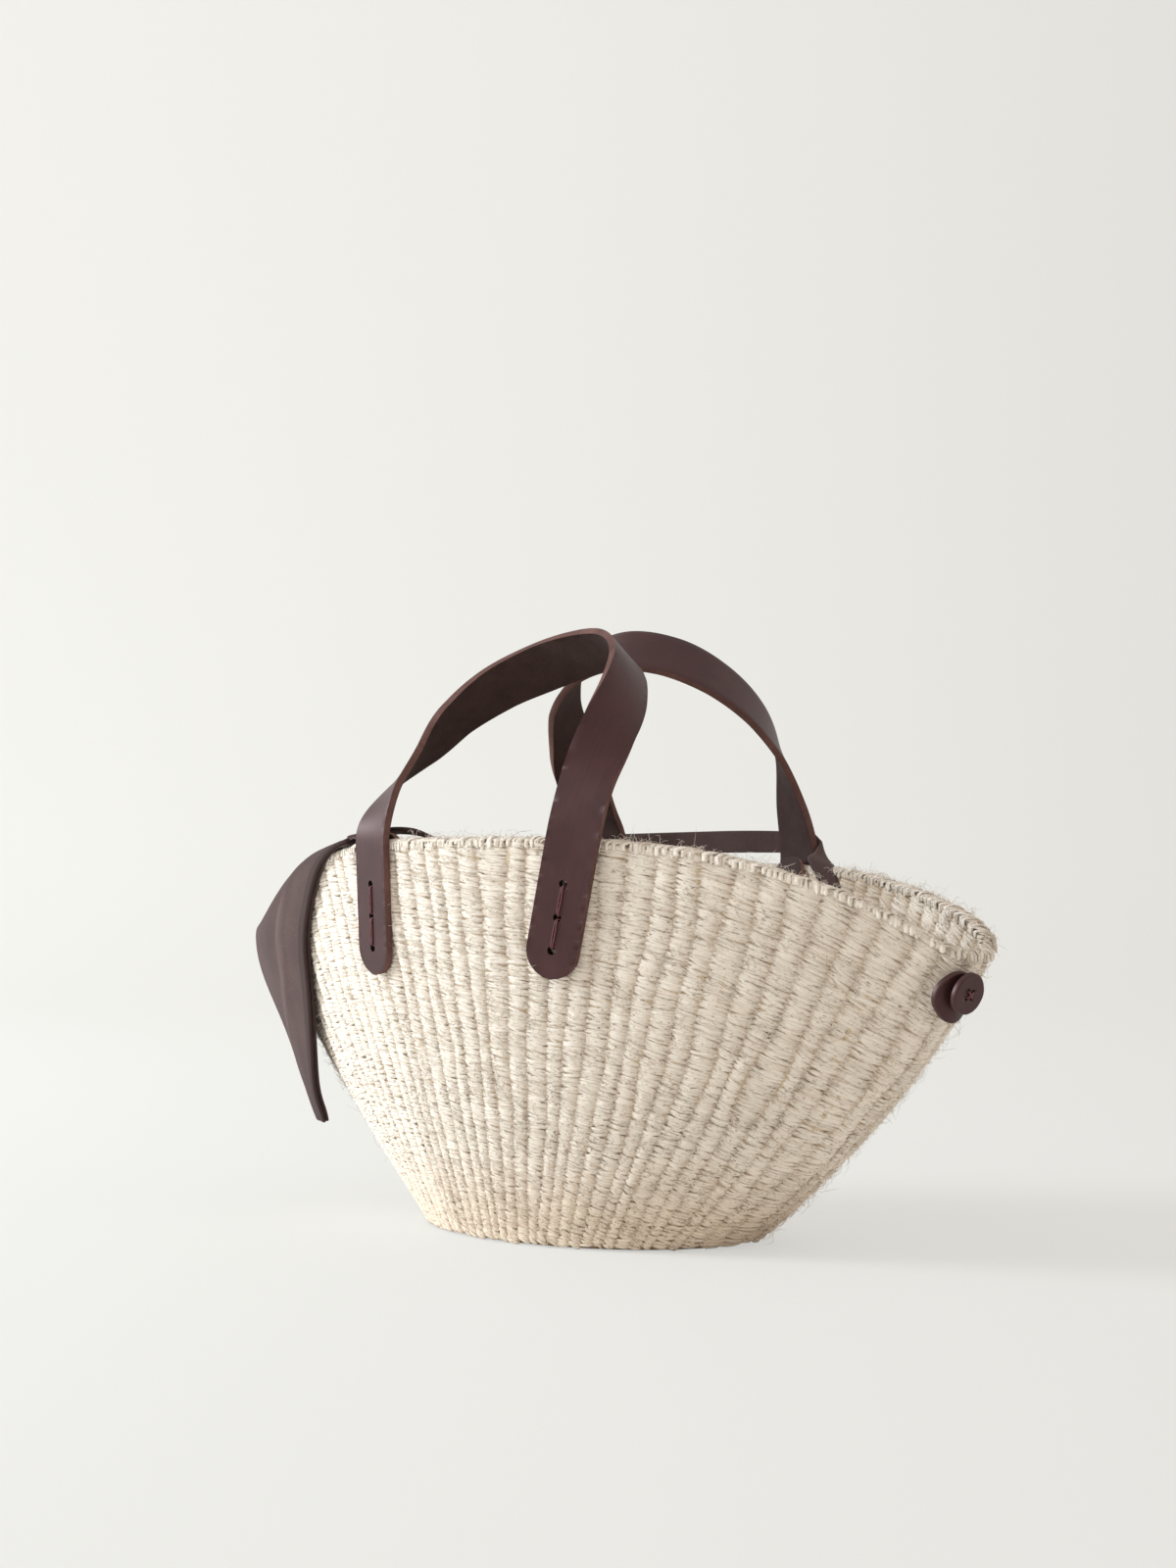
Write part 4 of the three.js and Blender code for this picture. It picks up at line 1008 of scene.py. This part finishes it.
def leather_strap(name, side):
    """One strap from sewn end to sewn end, bent to its line, its ends rounded."""
    line, face, run = strap_line(side)
    piece, co = leather_grid(name, 9, len(run))
    u = co[:, 0] * 2
    k = np.clip(np.rint((co[:, 1] + 0.5) * (len(run) - 1)).astype(int), 0, len(run) - 1)
    along = unit(np.gradient(line, axis=0))
    face = unit(face - along * (face * along).sum(1, keepdims=True))
    across = np.cross(along, face)
    radius = STRAP_WIDTH / 2
    end = np.minimum(run, run[-1] - run)
    width = radius * np.sqrt(np.clip(1 - (1 - np.clip(end / radius, 0.012, 1)) ** 2, 0, 1))
    places = line[k] + across[k] * (u * width[k])[:, None]
    paint(piece, GRAIN, FLESH, CUT_EDGE, HOLE_SHADE)
    legs = [LEGS[leg_name] for leg_name in strap_names(side)]
    holes = [(leg, leg["seat"] + STRAP_THICKNESS / 2) for leg in legs]
    return cut_leather(piece, places, STRAP_THICKNESS, 0.5 * MM, holes)


def leather_patch(name, leg):
    """The short strip inside the wall that the thread holds, its top end bent a little over the rim."""
    piece, co = leather_grid(name, 9, 45)
    radius = PATCH_WIDTH / 2
    v = mix(PATCH_BOTTOM, PATCH_RISE, np.sin(co[:, 1] * math.pi) * 0.5 + 0.5)
    end = np.clip(np.minimum(v - PATCH_BOTTOM, PATCH_RISE - v) / radius, 0.004, 1)
    u = co[:, 0] * 2 * radius * np.sqrt(1 - (1 - end) ** 2)
    bent = smooth((v + 4 * MM) / (8 * MM)) * PATCH_BEND
    height = leg["lining"] - PATCH_THICKNESS / 2 + bent
    right = math.copysign(1, leg["across"][0])
    u = u + smooth((v + 40 * MM) / (40 * MM)) * PATCH_SHIFT * MM * right
    paint(piece, FLESH, FLESH, PATCH_EDGE, HOLE_SHADE)
    holes = [(leg, leg["lining"] - PATCH_THICKNESS / 2)]
    return cut_leather(piece, on_frame(leg, u, v, height), PATCH_THICKNESS, 0.2 * MM, holes)


def pierce(piece, leg, middle):
    """Punches the three sewing holes of a strap end or patch whose middle stands so far from the frame."""
    for depth in HOLE_DEPTHS:
        spot = leg["origin"] - leg["up"] * depth + leg["out"] * middle
        punch_hole(piece, spot - leg["out"] * 4 * MM, spot + leg["out"] * 4 * MM, HOLE_RADIUS, 20)


def punch_hole(piece, start, end, radius, sides):
    """Cuts a round hole through a piece of leather, its walls painted near black as the shade inside the
    hole.
    """
    punch = rod(start, end, radius, sides)
    paint(punch, GRAIN, FLESH, CUT_EDGE, HOLE_SHADE)
    # The hole walls take the fourth material: painted shade.
    for polygon in punch.data.polygons:
        polygon.material_index = 3
    finish_with(piece, "BOOLEAN", operation="DIFFERENCE", object=punch, solver="EXACT")
    bpy.data.objects.remove(punch)


def rod(start, end, radius, sides):
    """A round bar between two points, its place in its mesh."""
    axis = Vector(end) - Vector(start)
    bpy.ops.object.select_all(action="DESELECT")
    bpy.ops.mesh.primitive_cylinder_add(vertices=sides, radius=radius, depth=axis.length)
    piece = bpy.context.active_object
    turn = axis.to_track_quat("Z", "Y").to_matrix().to_4x4()
    piece.data.transform(Matrix.Translation((Vector(start) + Vector(end)) / 2) @ turn)
    return piece


def lacing(name, leg):
    """Two strands between the holes outside and one inside, drawn down into each hole."""
    outside = leg["seat"] + STRAP_THICKNESS + 0.32 * MM
    inside = leg["lining"] - PATCH_THICKNESS - 0.6 * MM
    lines = []
    for first, second in zip(HOLE_DEPTHS, HOLE_DEPTHS[1:]):
        for shift in (-0.4 * MM, 0.4 * MM):
            t = np.r_[0, 0.02, 0.05, np.linspace(0.10, 0.90, 9), 0.95, 0.98, 1]
            height = outside - 3.0 * MM * (np.maximum(np.abs(2 * t - 1) - 0.84, 0) / 0.16) ** 1.5
            bow = np.sin(t * math.pi)
            v = -mix(first + 0.2 * MM, second - 0.2 * MM, t)
            u = shift * (0.5 + bow * 0.7)
            lines.append(on_frame(leg, u, v, height))
        t = np.linspace(0, 1, 15)
        height = inside + 2.6 * MM * np.maximum(np.abs(2 * t - 1) - 0.86, 0) / 0.14
        v = -mix(first, second, t)
        lines.append(on_frame(leg, np.zeros_like(v), v, height))
    return round_strands(name, np.stack(lines), LACING_RADIUS, leg["out"])


# Button
def button_frame():
    """Where the button sits: a frame on the wall, tilted and turned to the tip, and its seat's height."""
    frame_at = wall_frame(math.radians(BUTTON_ANGLE), BUTTON_LEVEL)
    tilt = np.array(Matrix.Rotation(-math.radians(BUTTON_TILT), 3, Vector(frame_at["across"])))
    turn = np.array(Matrix.Rotation(math.radians(BUTTON_TURN), 3, "Z"))
    frame_at["out"] = turn @ tilt @ frame_at["out"]
    frame_at["up"] = turn @ tilt @ frame_at["up"]
    frame_at["across"] = turn @ frame_at["across"]
    p = wall_near(frame_at["angle"]) - frame_at["origin"]
    u, v = p @ frame_at["across"], p @ frame_at["up"]
    height = p @ frame_at["out"] + u * u / 2 / DISC_BEND
    under = np.hypot(u, v + DISC_DROP) < DISC_RADIUS + 1 * MM
    frame_at["seat"] = height[under].max() + SEAT_GAP
    return frame_at


def placed(piece, frame_at, height):
    """Moves a piece made at the origin onto a frame, its place in its mesh."""
    basis = np.stack([frame_at["across"], frame_at["up"], frame_at["out"]], 1)
    matrix = Matrix(basis.tolist()).to_4x4()
    matrix.translation = Vector(frame_at["origin"] + frame_at["out"] * height)
    piece.data.transform(matrix)
    return piece


def leather_round(name, radius, thickness, seed, edge):
    """A cut leather disc with rounded edges and a slightly uneven outline."""
    bpy.ops.object.select_all(action="DESELECT")
    bpy.ops.mesh.primitive_cylinder_add(vertices=72, radius=radius, depth=thickness, end_fill_type="NGON",
                                        location=(0, 0, thickness / 2))
    piece = bpy.context.active_object
    piece.name = name
    bpy.ops.object.transform_apply(location=True)
    bpy.ops.object.mode_set(mode="EDIT")
    bpy.ops.mesh.select_mode(type="FACE")
    bpy.ops.mesh.select_all(action="DESELECT")
    bpy.ops.object.mode_set(mode="OBJECT")
    for polygon in piece.data.polygons:
        polygon.select = abs(polygon.normal.z) > 0.5
    bpy.ops.object.mode_set(mode="EDIT")
    for share in (0.12, 0.25, 0.3, 0.35):
        bpy.ops.mesh.inset(thickness=radius * share * 0.7)
    bpy.ops.object.mode_set(mode="OBJECT")
    finish_with(piece, "BEVEL", width=edge, segments=3, limit_method="ANGLE", angle_limit=math.radians(60))
    rng = np.random.default_rng(seed)
    waves = [(k, rng.normal(0, 0.008), rng.uniform(0, 6.28)) for k in (2, 3, 5, 8)]
    for vertex in piece.data.vertices:
        turn = math.atan2(vertex.co.y, vertex.co.x)
        grow = 1 + sum(a * math.cos(k * turn + p) for k, a, p in waves)
        vertex.co.x *= grow
        vertex.co.y *= grow
    for polygon in piece.data.polygons:
        polygon.material_index = 2 if abs(polygon.normal.z) < 0.6 else (0 if polygon.normal.z > 0 else 1)
    paint(piece, GRAIN, FLESH, CUT_EDGE, HOLE_SHADE)
    piece.data.uv_layers[0].name = "Surface"
    for loop, corner in zip(piece.data.loops, piece.data.uv_layers[0].uv):
        co = piece.data.vertices[loop.vertex_index].co
        corner.vector = (co.x / STRAP_WIDTH + 0.5, co.y / GRAIN_LENGTH + 0.5)
    only(piece)
    bpy.ops.object.shade_smooth_by_angle(angle=math.radians(40))
    return piece


def button_pieces():
    """The bent disc on the wall, the button on it, the crossed stitches and the thread shank through both."""
    place_at = button_frame()
    disc = leather_round("button_backing", DISC_RADIUS, DISC_THICKNESS, 5, 0.4 * MM)
    for vertex in disc.data.vertices:
        vertex.co.z -= vertex.co.x**2 / 2 / DISC_BEND
        vertex.co.y -= DISC_DROP
    placed(disc, place_at, place_at["seat"])
    base = place_at["seat"] + DISC_THICKNESS + BUTTON_STANDOFF
    top = leather_round("button_face", BUTTON_RADIUS, BUTTON_THICKNESS, 9, 0.5 * MM)
    placed(top, place_at, base)
    half = STITCH_SPAN / 2
    corners = [(half, half), (-half, half), (-half, -half), (half, -half)]
    for x, y in corners:
        spot = place_at["origin"] + place_at["across"] * x + place_at["up"] * y + place_at["out"] * base
        punch_hole(top, spot - place_at["out"] * MM, spot + place_at["out"] * 4 * MM, STITCH_HOLE_RADIUS, 14)
    lines = []
    for (ax, ay), (bx, by) in ((corners[0], corners[2]), (corners[1], corners[3])):
        t = np.linspace(0, 1, 11)
        for level, sink in ((BUTTON_THICKNESS + 0.45 * MM, -2.2 * MM), (-0.5 * MM, 1.2 * MM)):
            height = base + level + sink * np.maximum(np.abs(2 * t - 1) - 0.8, 0) / 0.2
            x, y = mix(ax, bx, t), mix(ay, by, t)
            lines.append(on_frame(place_at, x, y, height))
    stitches = round_strands("button_thread", np.stack(lines), STITCH_RADIUS, place_at["out"])
    stem = np.linspace(-SHANK_REACH, base - 0.9 * MM, 8)
    middle = place_at["origin"] + place_at["out"] * stem[:, None]
    shank = round_strands("button_stem", middle[None], SHANK_RADIUS, place_at["up"])
    return disc, top, stitches, shank


# Sash
def edge_curve(points, t):
    """A smooth line through points given in millimetres, t from 0 to 1."""
    return through(np.array(points, float) * MM, t)


def crease_place(t):
    """Where across the tail its sharp crease runs, t from 0 to 1 down it."""
    return np.interp(t, np.linspace(0, 1, len(CREASE)), CREASE)


def tail_point(t, u):
    """The hanging tail: t runs down it, u from its front edge to its back edge. A crease runs down it."""
    crease = np.exp(-(((u - crease_place(t)) / 0.035) ** 2)) * 1.5 * MM * (1 - smooth(t * 1.6 - 0.4))
    bow = np.sin(math.pi * np.clip(u, 0, 1)) * 4.5 * MM * (1 - t)
    point = mix(edge_curve(TAIL_FRONT, t), edge_curve(TAIL_BACK, t), u[..., None])
    return point + np.array([-0.47, -0.88, 0]) * (crease + bow)[..., None]


def clear_of_wall(points, clearance):
    """Moves points straight out until they clear the outside of the wall."""
    angles = np.linspace(-math.pi, 0, 500)
    shape = points.shape
    p = points.reshape(-1, 3)
    level = np.clip(p[:, 2:3] / rim_height(angles)[None], 0.0, 1)
    wall = wall_point(angles[None], level)
    nearest = np.argmin(np.hypot(*(wall[..., :2] - p[:, None, :2]).transpose(2, 0, 1)), axis=1)
    angle = angles[nearest]
    level = np.clip(p[:, 2] / rim_height(angle), 0.01, 0.995)
    out = unit(wall_out(angle, level) * [1, 1, 0])
    gap = ((p - wall_point(angle, level)) * [1, 1, 0] * out).sum(1)
    return (p + out * np.maximum(clearance - gap, 0)[:, None]).reshape(shape)


def over_rim(angle, across, lift):
    """A point above the rim: across 0 is its outer edge, 1 its inner edge."""
    point = mix(wall_point(angle, 1.0), wall_point(angle, 1.0, LINING), across)
    point = point + unit(wall_out(angle, 0.99) * [1, 1, 0]) * ((0.5 - across) * 1.6 * lift)
    point[..., 2] += lift + RIM_CROWN * (1 - abs(2 * across - 1))
    return point


def off_lining(angle, drop, lift):
    """A point inside the bag, so far below the rim and off the lining."""
    level = np.minimum(1 - drop / rim_height(angle), 0.995)
    return wall_point(angle, level, LINING) - wall_out(angle, level) * lift


def sash_surface(t, u):
    """The sash at the left end: t is -1 inside the wall, 0 on the rim, 1 at the tail's top, 2 at its tip."""
    t, u = np.broadcast_arrays(np.asarray(t, float), np.asarray(u, float))
    within = np.clip(u, 0, 1)
    angle = np.radians(mix(FOLD_ANGLES[0], FOLD_ANGLES[1], within))
    lift = SASH_LIFT + 0.6 * MM * smooth(within * 4)
    corner = over_rim(angle, 0.0, 0)
    flat = unit(wall_out(angle, 0.99) * [1, 1, 0])
    corner = corner + flat * (0.8 * lift)[..., None] + np.array([0, 0, 1.0]) * (lift * 0.8)[..., None]
    top = mix(wall_point(angle, 1.0), wall_point(angle, 1.0, LINING), 0.5)
    top = top + np.array([0, 0, 1.0]) * (lift + RIM_CROWN + 0.4 * MM)[..., None]
    inner = wall_point(angle, 1.0, LINING) - flat * lift[..., None]
    low = off_lining(angle, 9 * MM, SASH_LIFT)
    end = tail_point(np.zeros_like(u), u)
    knee = end.copy()
    knee[..., 2] = mix(end[..., 2], corner[..., 2], mix(0.9, 0.5, within))
    knee = mix(knee, corner, mix(0.45, 0.12, within)[..., None])
    q = np.clip(t, 0, 1)[..., None]
    outside = (1 - q) ** 2 * corner + 2 * q * (1 - q) * knee + q * q * end
    outside = clear_of_wall(outside, SASH_LIFT + 0.4 * MM)
    hanging = clear_of_wall(tail_point(np.clip(t - 1, 0, 1), u), 2.4 * MM)
    s = np.clip(t, -1, 0)[..., None]
    curve = mix(corner, top, np.clip(-s / 0.35, 0, 1))
    curve = np.where(s < -0.35, mix(top, inner, np.clip((-s - 0.35) / 0.3, 0, 1)), curve)
    curve = np.where(s < -0.65, mix(inner, low, np.clip((-s - 0.65) / 0.35, 0, 1)), curve)
    return np.where(t[..., None] > 1, hanging, np.where(t[..., None] > 0, outside, curve))


def doubled_sheet(surface, rows, steps):
    """A strip of cloth folded in two along its back edge, each front edge turned into a hem."""
    flat = surface(rows[:, None], np.array([[0.0, 1.0]]))
    width = np.linalg.norm(flat[:, 1] - flat[:, 0], axis=1)[:, None]
    hem = np.array(HEM) * MM
    place = hem[None, :, 0] / width * np.minimum(1, 0.62 * width / (5 * MM))
    field = mix(place[:, -1:], 0.985, np.linspace(0, 1, steps)[None, 1:])
    ones = np.ones_like(width)
    u = np.concatenate([place, field, ones, field[:, ::-1], place[:, ::-1]], axis=1)
    thick = np.concatenate([hem[None, :, 1] * ones, SASH_GAP * np.ones_like(field)], axis=1)
    offset = np.concatenate([thick, 0 * ones, -thick[:, ::-1]], axis=1)
    t = rows[:, None] * np.ones_like(u)
    grid = surface(t, u)
    down = np.gradient(surface(t, np.clip(u, 0, 1)), axis=0)
    side = surface(t, np.clip(u, 0, 1) + 0.01) - surface(t, np.clip(u, 0, 1) - 0.01)
    normal = unit(np.cross(side, down))
    for _ in range(2):
        normal[1:-1] = unit(normal[:-2] + 2 * normal[1:-1] + normal[2:])
    # Painted highlight along the crease of the outer layer, and painted shade on both rolled hems.
    from_crease = (u - crease_place(np.maximum(t - 1, 0))) / 0.02
    crease_highlight_and_hem_shade = np.exp(-(from_crease**2)) * (offset > 0) * smooth((t - 0.5) * 3)
    crease_highlight_and_hem_shade[:, : len(HEM)] = HEM_SHADE
    crease_highlight_and_hem_shade[:, -len(HEM) :] = HEM_SHADE
    return grid + normal * offset[..., None], crease_highlight_and_hem_shade


def cloth_piece(name, grid, thickness, crease_highlight_and_hem_shade):
    """A sheet through a grid of points, thickened and smoothed. Its UV map is in millimetres."""
    rows, cols = grid.shape[:2]
    down = np.r_[0, np.cumsum(np.linalg.norm(np.diff(grid.mean(1), axis=0), axis=1))]
    across = np.r_[0, np.cumsum(np.linalg.norm(np.diff(grid, axis=1), axis=2).mean(0))]
    uv = np.stack(np.broadcast_arrays(across[None, :], down[:, None]), -1).reshape(-1, 2) / MM
    piece = mesh_piece(name, grid.reshape(-1, 3), [grid_faces(rows, cols)])
    add_uv(piece, uv)
    add_values(piece, "crease_highlight_and_hem_shade", crease_highlight_and_hem_shade.ravel())
    paint(piece, CLOTH)
    finish_with(piece, "SOLIDIFY", thickness=thickness, offset=0.0, use_even_offset=False)
    return finish_with(piece, "SUBSURF", levels=1, render_levels=1)


def sash_end():
    """The sash over the rim and its hanging tail, its outward bend rounded and its tip blunt."""
    inside = np.linspace(-1, 0, 11)
    outside = np.linspace(0.06, 1, 15)
    hanging = np.linspace(1.04, 2, 27)
    rows = np.r_[inside, outside, hanging]
    grid, crease_highlight_and_hem_shade = doubled_sheet(sash_surface, rows, 27)
    for _ in range(14):
        bend = smooth((rows - 0.45) / 0.3) * (1 - smooth((rows - 1.3) / 0.4))
        relaxed = (grid[:-2] + grid[2:]) / 2 - grid[1:-1]
        grid[1:-1] += 0.5 * bend[1:-1, None, None] * relaxed
    tip = smooth((rows - 1.9) / 0.1)[:, None, None]
    centre = grid.mean(axis=1, keepdims=True)
    grid += (centre - grid) * tip * 0.15
    return cloth_piece("sash_end", grid, SASH_LAYER, crease_highlight_and_hem_shade)


def smooth_line(points, count):
    return through(points, np.linspace(0, 1, count))


def strap_back(height):
    """How far back the back strap reaches near a height."""
    centre, face = arch_line(1)
    across = np.cross(unit(np.gradient(centre, axis=0)), face)
    reach = np.abs(across[:, 1]) * STRAP_WIDTH / 2 + np.abs(face[:, 1]) * STRAP_THICKNESS / 2
    return (centre[:, 1] + reach)[np.abs(centre[:, 2] - height) < BAND_WIDTH].max()


def band_stations():
    """Middle of the narrow sash, the way across it and its width in mm, from the front rim to its far end."""
    h = hinge(1)
    middle = h["z"] + BAND_ABOVE_HINGE + BAND_WIDTH / 2
    y = strap_back(middle) + SEAT_GAP + 1 * MM
    start = np.radians(FOLD_ANGLES[0])
    edge = over_rim(start, 0.5, SASH_LIFT)
    left = h["left"] - BAND_REACH
    up = (0, 0, 1)
    stations = [
        (edge + np.array([0, 1.4, 0.8]) * MM, (0.2, 1, 0), 13),
        (edge + np.array([13, 2.5, 2.8]) * MM, (0.15, 1, 0), 13),
        (edge + np.array([26, 4.5, 3.2]) * MM, (0.2, 1, -0.2), 13),
        (edge + np.array([37, 9, 0]) * MM, (0.5, 1, -0.5), 13),
        (edge + np.array([44, 18, -9]) * MM, (0.9, 0.7, -0.4), 13),
        (edge + np.array([44, 32, -20]) * MM, (1, 0.3, -0.1), 13),
        (edge + np.array([36, 56, -27]) * MM, (1, 0.2, 0), 13),
        (edge + np.array([24, 84, -27]) * MM, (1, 0.1, 0), 13),
        (np.array([left - 2 * MM, y - 21 * MM, middle - 12 * MM]), (1, 0, 0.5), 11),
        (np.array([left - 2.5 * MM, y - 12 * MM, middle - 1.4 * MM]), (0.6, 0, 1), 10),
        (np.array([left - 1.0 * MM, y - 5 * MM, middle]), up, 9.5),
        (np.array([left + 0.8 * MM, y - 1.2 * MM, middle]), up, 9),
        (np.array([left + 4 * MM, y, middle]), up, 9),
        (np.array([h["left"], y, middle]), up, 9),
        (np.array([-20 * MM, y, middle + 0.3 * MM]), up, 9.4),
        (np.array([20 * MM, y, middle + 0.6 * MM]), up, 9.6),
        (np.array([h["right"], y, middle]), up, 9),
        (np.array([h["right"] + 4.5 * MM, y - 2.2 * MM, middle - 0.5 * MM]), up, 9),
        (np.array([h["right"] + 8.5 * MM, y - 3.7 * MM, middle - 1.8 * MM]), (-0.2, 0.1, 1), 8.4),
        (np.array([h["right"] + 11.9 * MM, y - 5.6 * MM, middle - 3.2 * MM]), (-0.45, 0.3, 0.8), 9),
        (over_rim(math.radians(68), 0.3, 2.4 * MM), (-0.85, 0.1, 0.45), 13),
        (over_rim(math.radians(66), 1.0, 1.5 * MM), (-0.9, -0.1, 0.35), 14),
        (off_lining(math.radians(63), 7 * MM, 1.8 * MM), (-0.9, 0.0, 0.35), 13),
        (off_lining(math.radians(60), 16 * MM, 1.8 * MM), (-0.9, 0.0, 0.35), 12),
    ]
    for degrees, drop, lift in ((51, 28, 2.6), (46, 33, 1.8), (40, 36, 1.6), (33, 38, 1.6)):
        angle = math.radians(degrees)
        steep = wall_frame(angle, 0.8)["up"]
        stations.append((off_lining(angle, drop * MM, lift * MM), tuple(steep), 11))
    return stations


def sash_through():
    """The sash inside the bag: from the front rim, behind both legs of the back handle and down inside."""
    stations = band_stations()
    centres = smooth_line([s[0] for s in stations], 110)
    directions = unit(smooth_line([unit(np.array(s[1], float)) for s in stations], 110))
    widths = smooth_line([[s[2] * MM] for s in stations], 110)
    shares = np.array([-0.5, -0.35, -0.15, 0, 0.15, 0.35, 0.5])
    grid = centres[:, None] + directions[:, None] * (widths[:, None] * shares[None, :, None])
    return cloth_piece("sash_through", grid, BAND_THICKNESS, np.zeros(grid.shape[:2]))


# Dressing the frame
def dress(piece, slot, *nodes, body="bag"):
    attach(piece, body)
    if nodes:
        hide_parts(*nodes)
    return piece


def dress_basket():
    dress(basket_core(), "basket_fibre", "basket")
    quarters = np.linspace(0, RIBS, 5).astype(int)
    for count, (first, last) in enumerate(zip(quarters, quarters[1:])):
        yarn = yarn_rows(f"yarn_outside_{count + 1}", CREST, 1, first, last, 5, YARN_PITCH, 3 + count)
        dress(yarn, "basket_fibre")
    for name, first, last in (("back", 0, RIBS // 2), ("front", RIBS // 2, RIBS)):
        yarn = yarn_rows(f"yarn_inside_{name}", LINING, -1, first, last, 4, INNER_PITCH, 77 + first)
        dress(yarn, "basket_fibre")
    dress(rim_loops(), "basket_fibre")
    for count in range(3):
        dress(loose_fibres(f"loose_fibres_{count + 1}", HAIRS, 8 + count, False), "basket_fibre")
    dress(loose_fibres("rim_fibres", RIM_HAIRS, 12, True), "basket_fibre")


def dress_straps():
    for side, word in ((-1, "front"), (1, "back")):
        strap = leather_strap(f"{word}_strap", side)
        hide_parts(f"{word}_handle", f"{word}_strap_end_left", f"{word}_strap_end_right")
        h = hinge(side)
        start = (0, h["y"], h["z"] - 5 * MM)
        end = (0, h["y"], h["z"] + 9 * MM)
        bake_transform(strap)
        for hand in ("left", "right"):
            thread = lacing(f"{word}_thread_{hand}", LEGS[f"{word}_{hand}"])
            dress(thread, "thread", f"{word}_lacing_{hand}")
            patch = leather_patch(f"{word}_inner_patch_{hand}", LEGS[f"{word}_{hand}"])
            dress(patch, "leather_inner", f"{word}_patch_{hand}")


def dress_button():
    disc, top, stitches, stem = button_pieces()
    dress(disc, "leather", "button_disc")
    dress(top, "leather", "button", body="button_body")
    dress(stitches, "thread", "button_stitches", body="button_body")
    dress(stem, "thread", "button_shank")


def dress_sash():
    end = sash_end()
    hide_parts("sash_rim_fold", "sash_tail")
    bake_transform(end)
    through = sash_through()
    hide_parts("sash_inside_left", "sash_band", "sash_inside_right")
    h = hinge(1)
    start = (0, h["y"] - 8 * MM, h["z"] - 2 * MM)
    end_at = (0, h["y"] - 1 * MM, h["z"] + 3 * MM)
    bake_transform(through)


# Stage
def view_brightness(points):
    """How bright the backdrop looks at each point: brightest in the upper left of the picture."""
    away = points - np.array(CAMERA_SPOT)
    forward = away @ np.array([-math.sin(CAMERA_TURN), math.cos(CAMERA_TURN), 0])
    right = away @ np.array([math.cos(CAMERA_TURN), math.sin(CAMERA_TURN), 0])
    distance = np.maximum(forward, 0.05)
    across = np.clip(right / distance / VIEW_REACH[0], -1, 1)
    up = np.clip(away[:, 2] / distance / VIEW_REACH[1], -1, 1)
    wall = smooth((up + 0.35) / 0.4)
    return np.clip(mix(0.42 - 0.18 * across, 0.66 - 0.34 * across, wall), 0, 1)


def backdrop():
    """A pale floor that curves up into a wall behind the bag."""
    heading = Vector((-math.sin(CAMERA_TURN), math.cos(CAMERA_TURN), 0))
    sideways = Vector((heading.y, -heading.x, 0))
    turn = np.linspace(0, math.pi / 2, 24)
    radius = 1.6
    depths = np.r_[-3.0, np.linspace(-1.2, 1.2, 8), 1.4 + radius * np.sin(turn)]
    heights = np.r_[np.zeros(9), radius * (1 - np.cos(turn))]
    depths = np.r_[depths, depths[-1]]
    heights = np.r_[heights, 6.0]
    widths = np.linspace(-5, 5, 61)
    rows = [[heading * d + sideways * w + Vector((0, 0, z)) for w in widths] for d, z in zip(depths, heights)]
    points = np.array(rows).reshape(-1, 3)
    piece = mesh_piece("backdrop", points, [grid_faces(len(depths), len(widths))[:, ::-1]])
    add_values(piece, "bright", view_brightness(points))
    paint(piece, backdrop_finish())


def window_lamp():
    lamp = bpy.data.lights.new("window_lamp", "AREA")
    lamp.shape = "DISK"
    lamp.size = LAMP_SIZE
    lamp.energy = LAMP_ENERGY
    lamp.color = LAMP_COLOUR
    made = bpy.data.objects.new("window_lamp", lamp)
    made.location = LAMP_SPOT
    made.rotation_euler = (Vector(LAMP_AIM) - Vector(LAMP_SPOT)).to_track_quat("-Z", "Y").to_euler()
    bpy.context.scene.collection.objects.link(made)


def surround():
    """An even, slightly warm light from all around, pale where the camera sees it."""
    world = bpy.data.worlds.new("surround")
    world.use_nodes = True
    tree = world.node_tree
    colour = tree.nodes.new("ShaderNodeMix")
    colour.data_type = "RGBA"
    colour.inputs[6].default_value = SURROUND_COLOUR
    colour.inputs[7].default_value = SURROUND_SEEN
    tree.links.new(background_rays(tree), colour.inputs[0])
    tree.links.new(colour.outputs[2], tree.nodes["Background"].inputs["Color"])
    tree.nodes["Background"].inputs["Strength"].default_value = SURROUND_STRENGTH
    bpy.context.scene.world = world


def camera():
    """The photograph's view."""
    data = bpy.data.cameras.new("camera")
    data.sensor_width = CAMERA_SENSOR
    data.lens = CAMERA_LENS
    data.clip_start = 0.01
    data.clip_end = 50
    made = bpy.data.objects.new("camera", data)
    made.location = CAMERA_SPOT
    made.rotation_euler = (math.pi / 2 + CAMERA_PITCH, 0, CAMERA_TURN)
    bpy.context.scene.collection.objects.link(made)
    bpy.context.scene.camera = made


camera()
backdrop()
window_lamp()
surround()
bpy.context.scene.view_settings.view_transform = "Standard"
dress_basket()
dress_straps()
dress_button()
dress_sash()
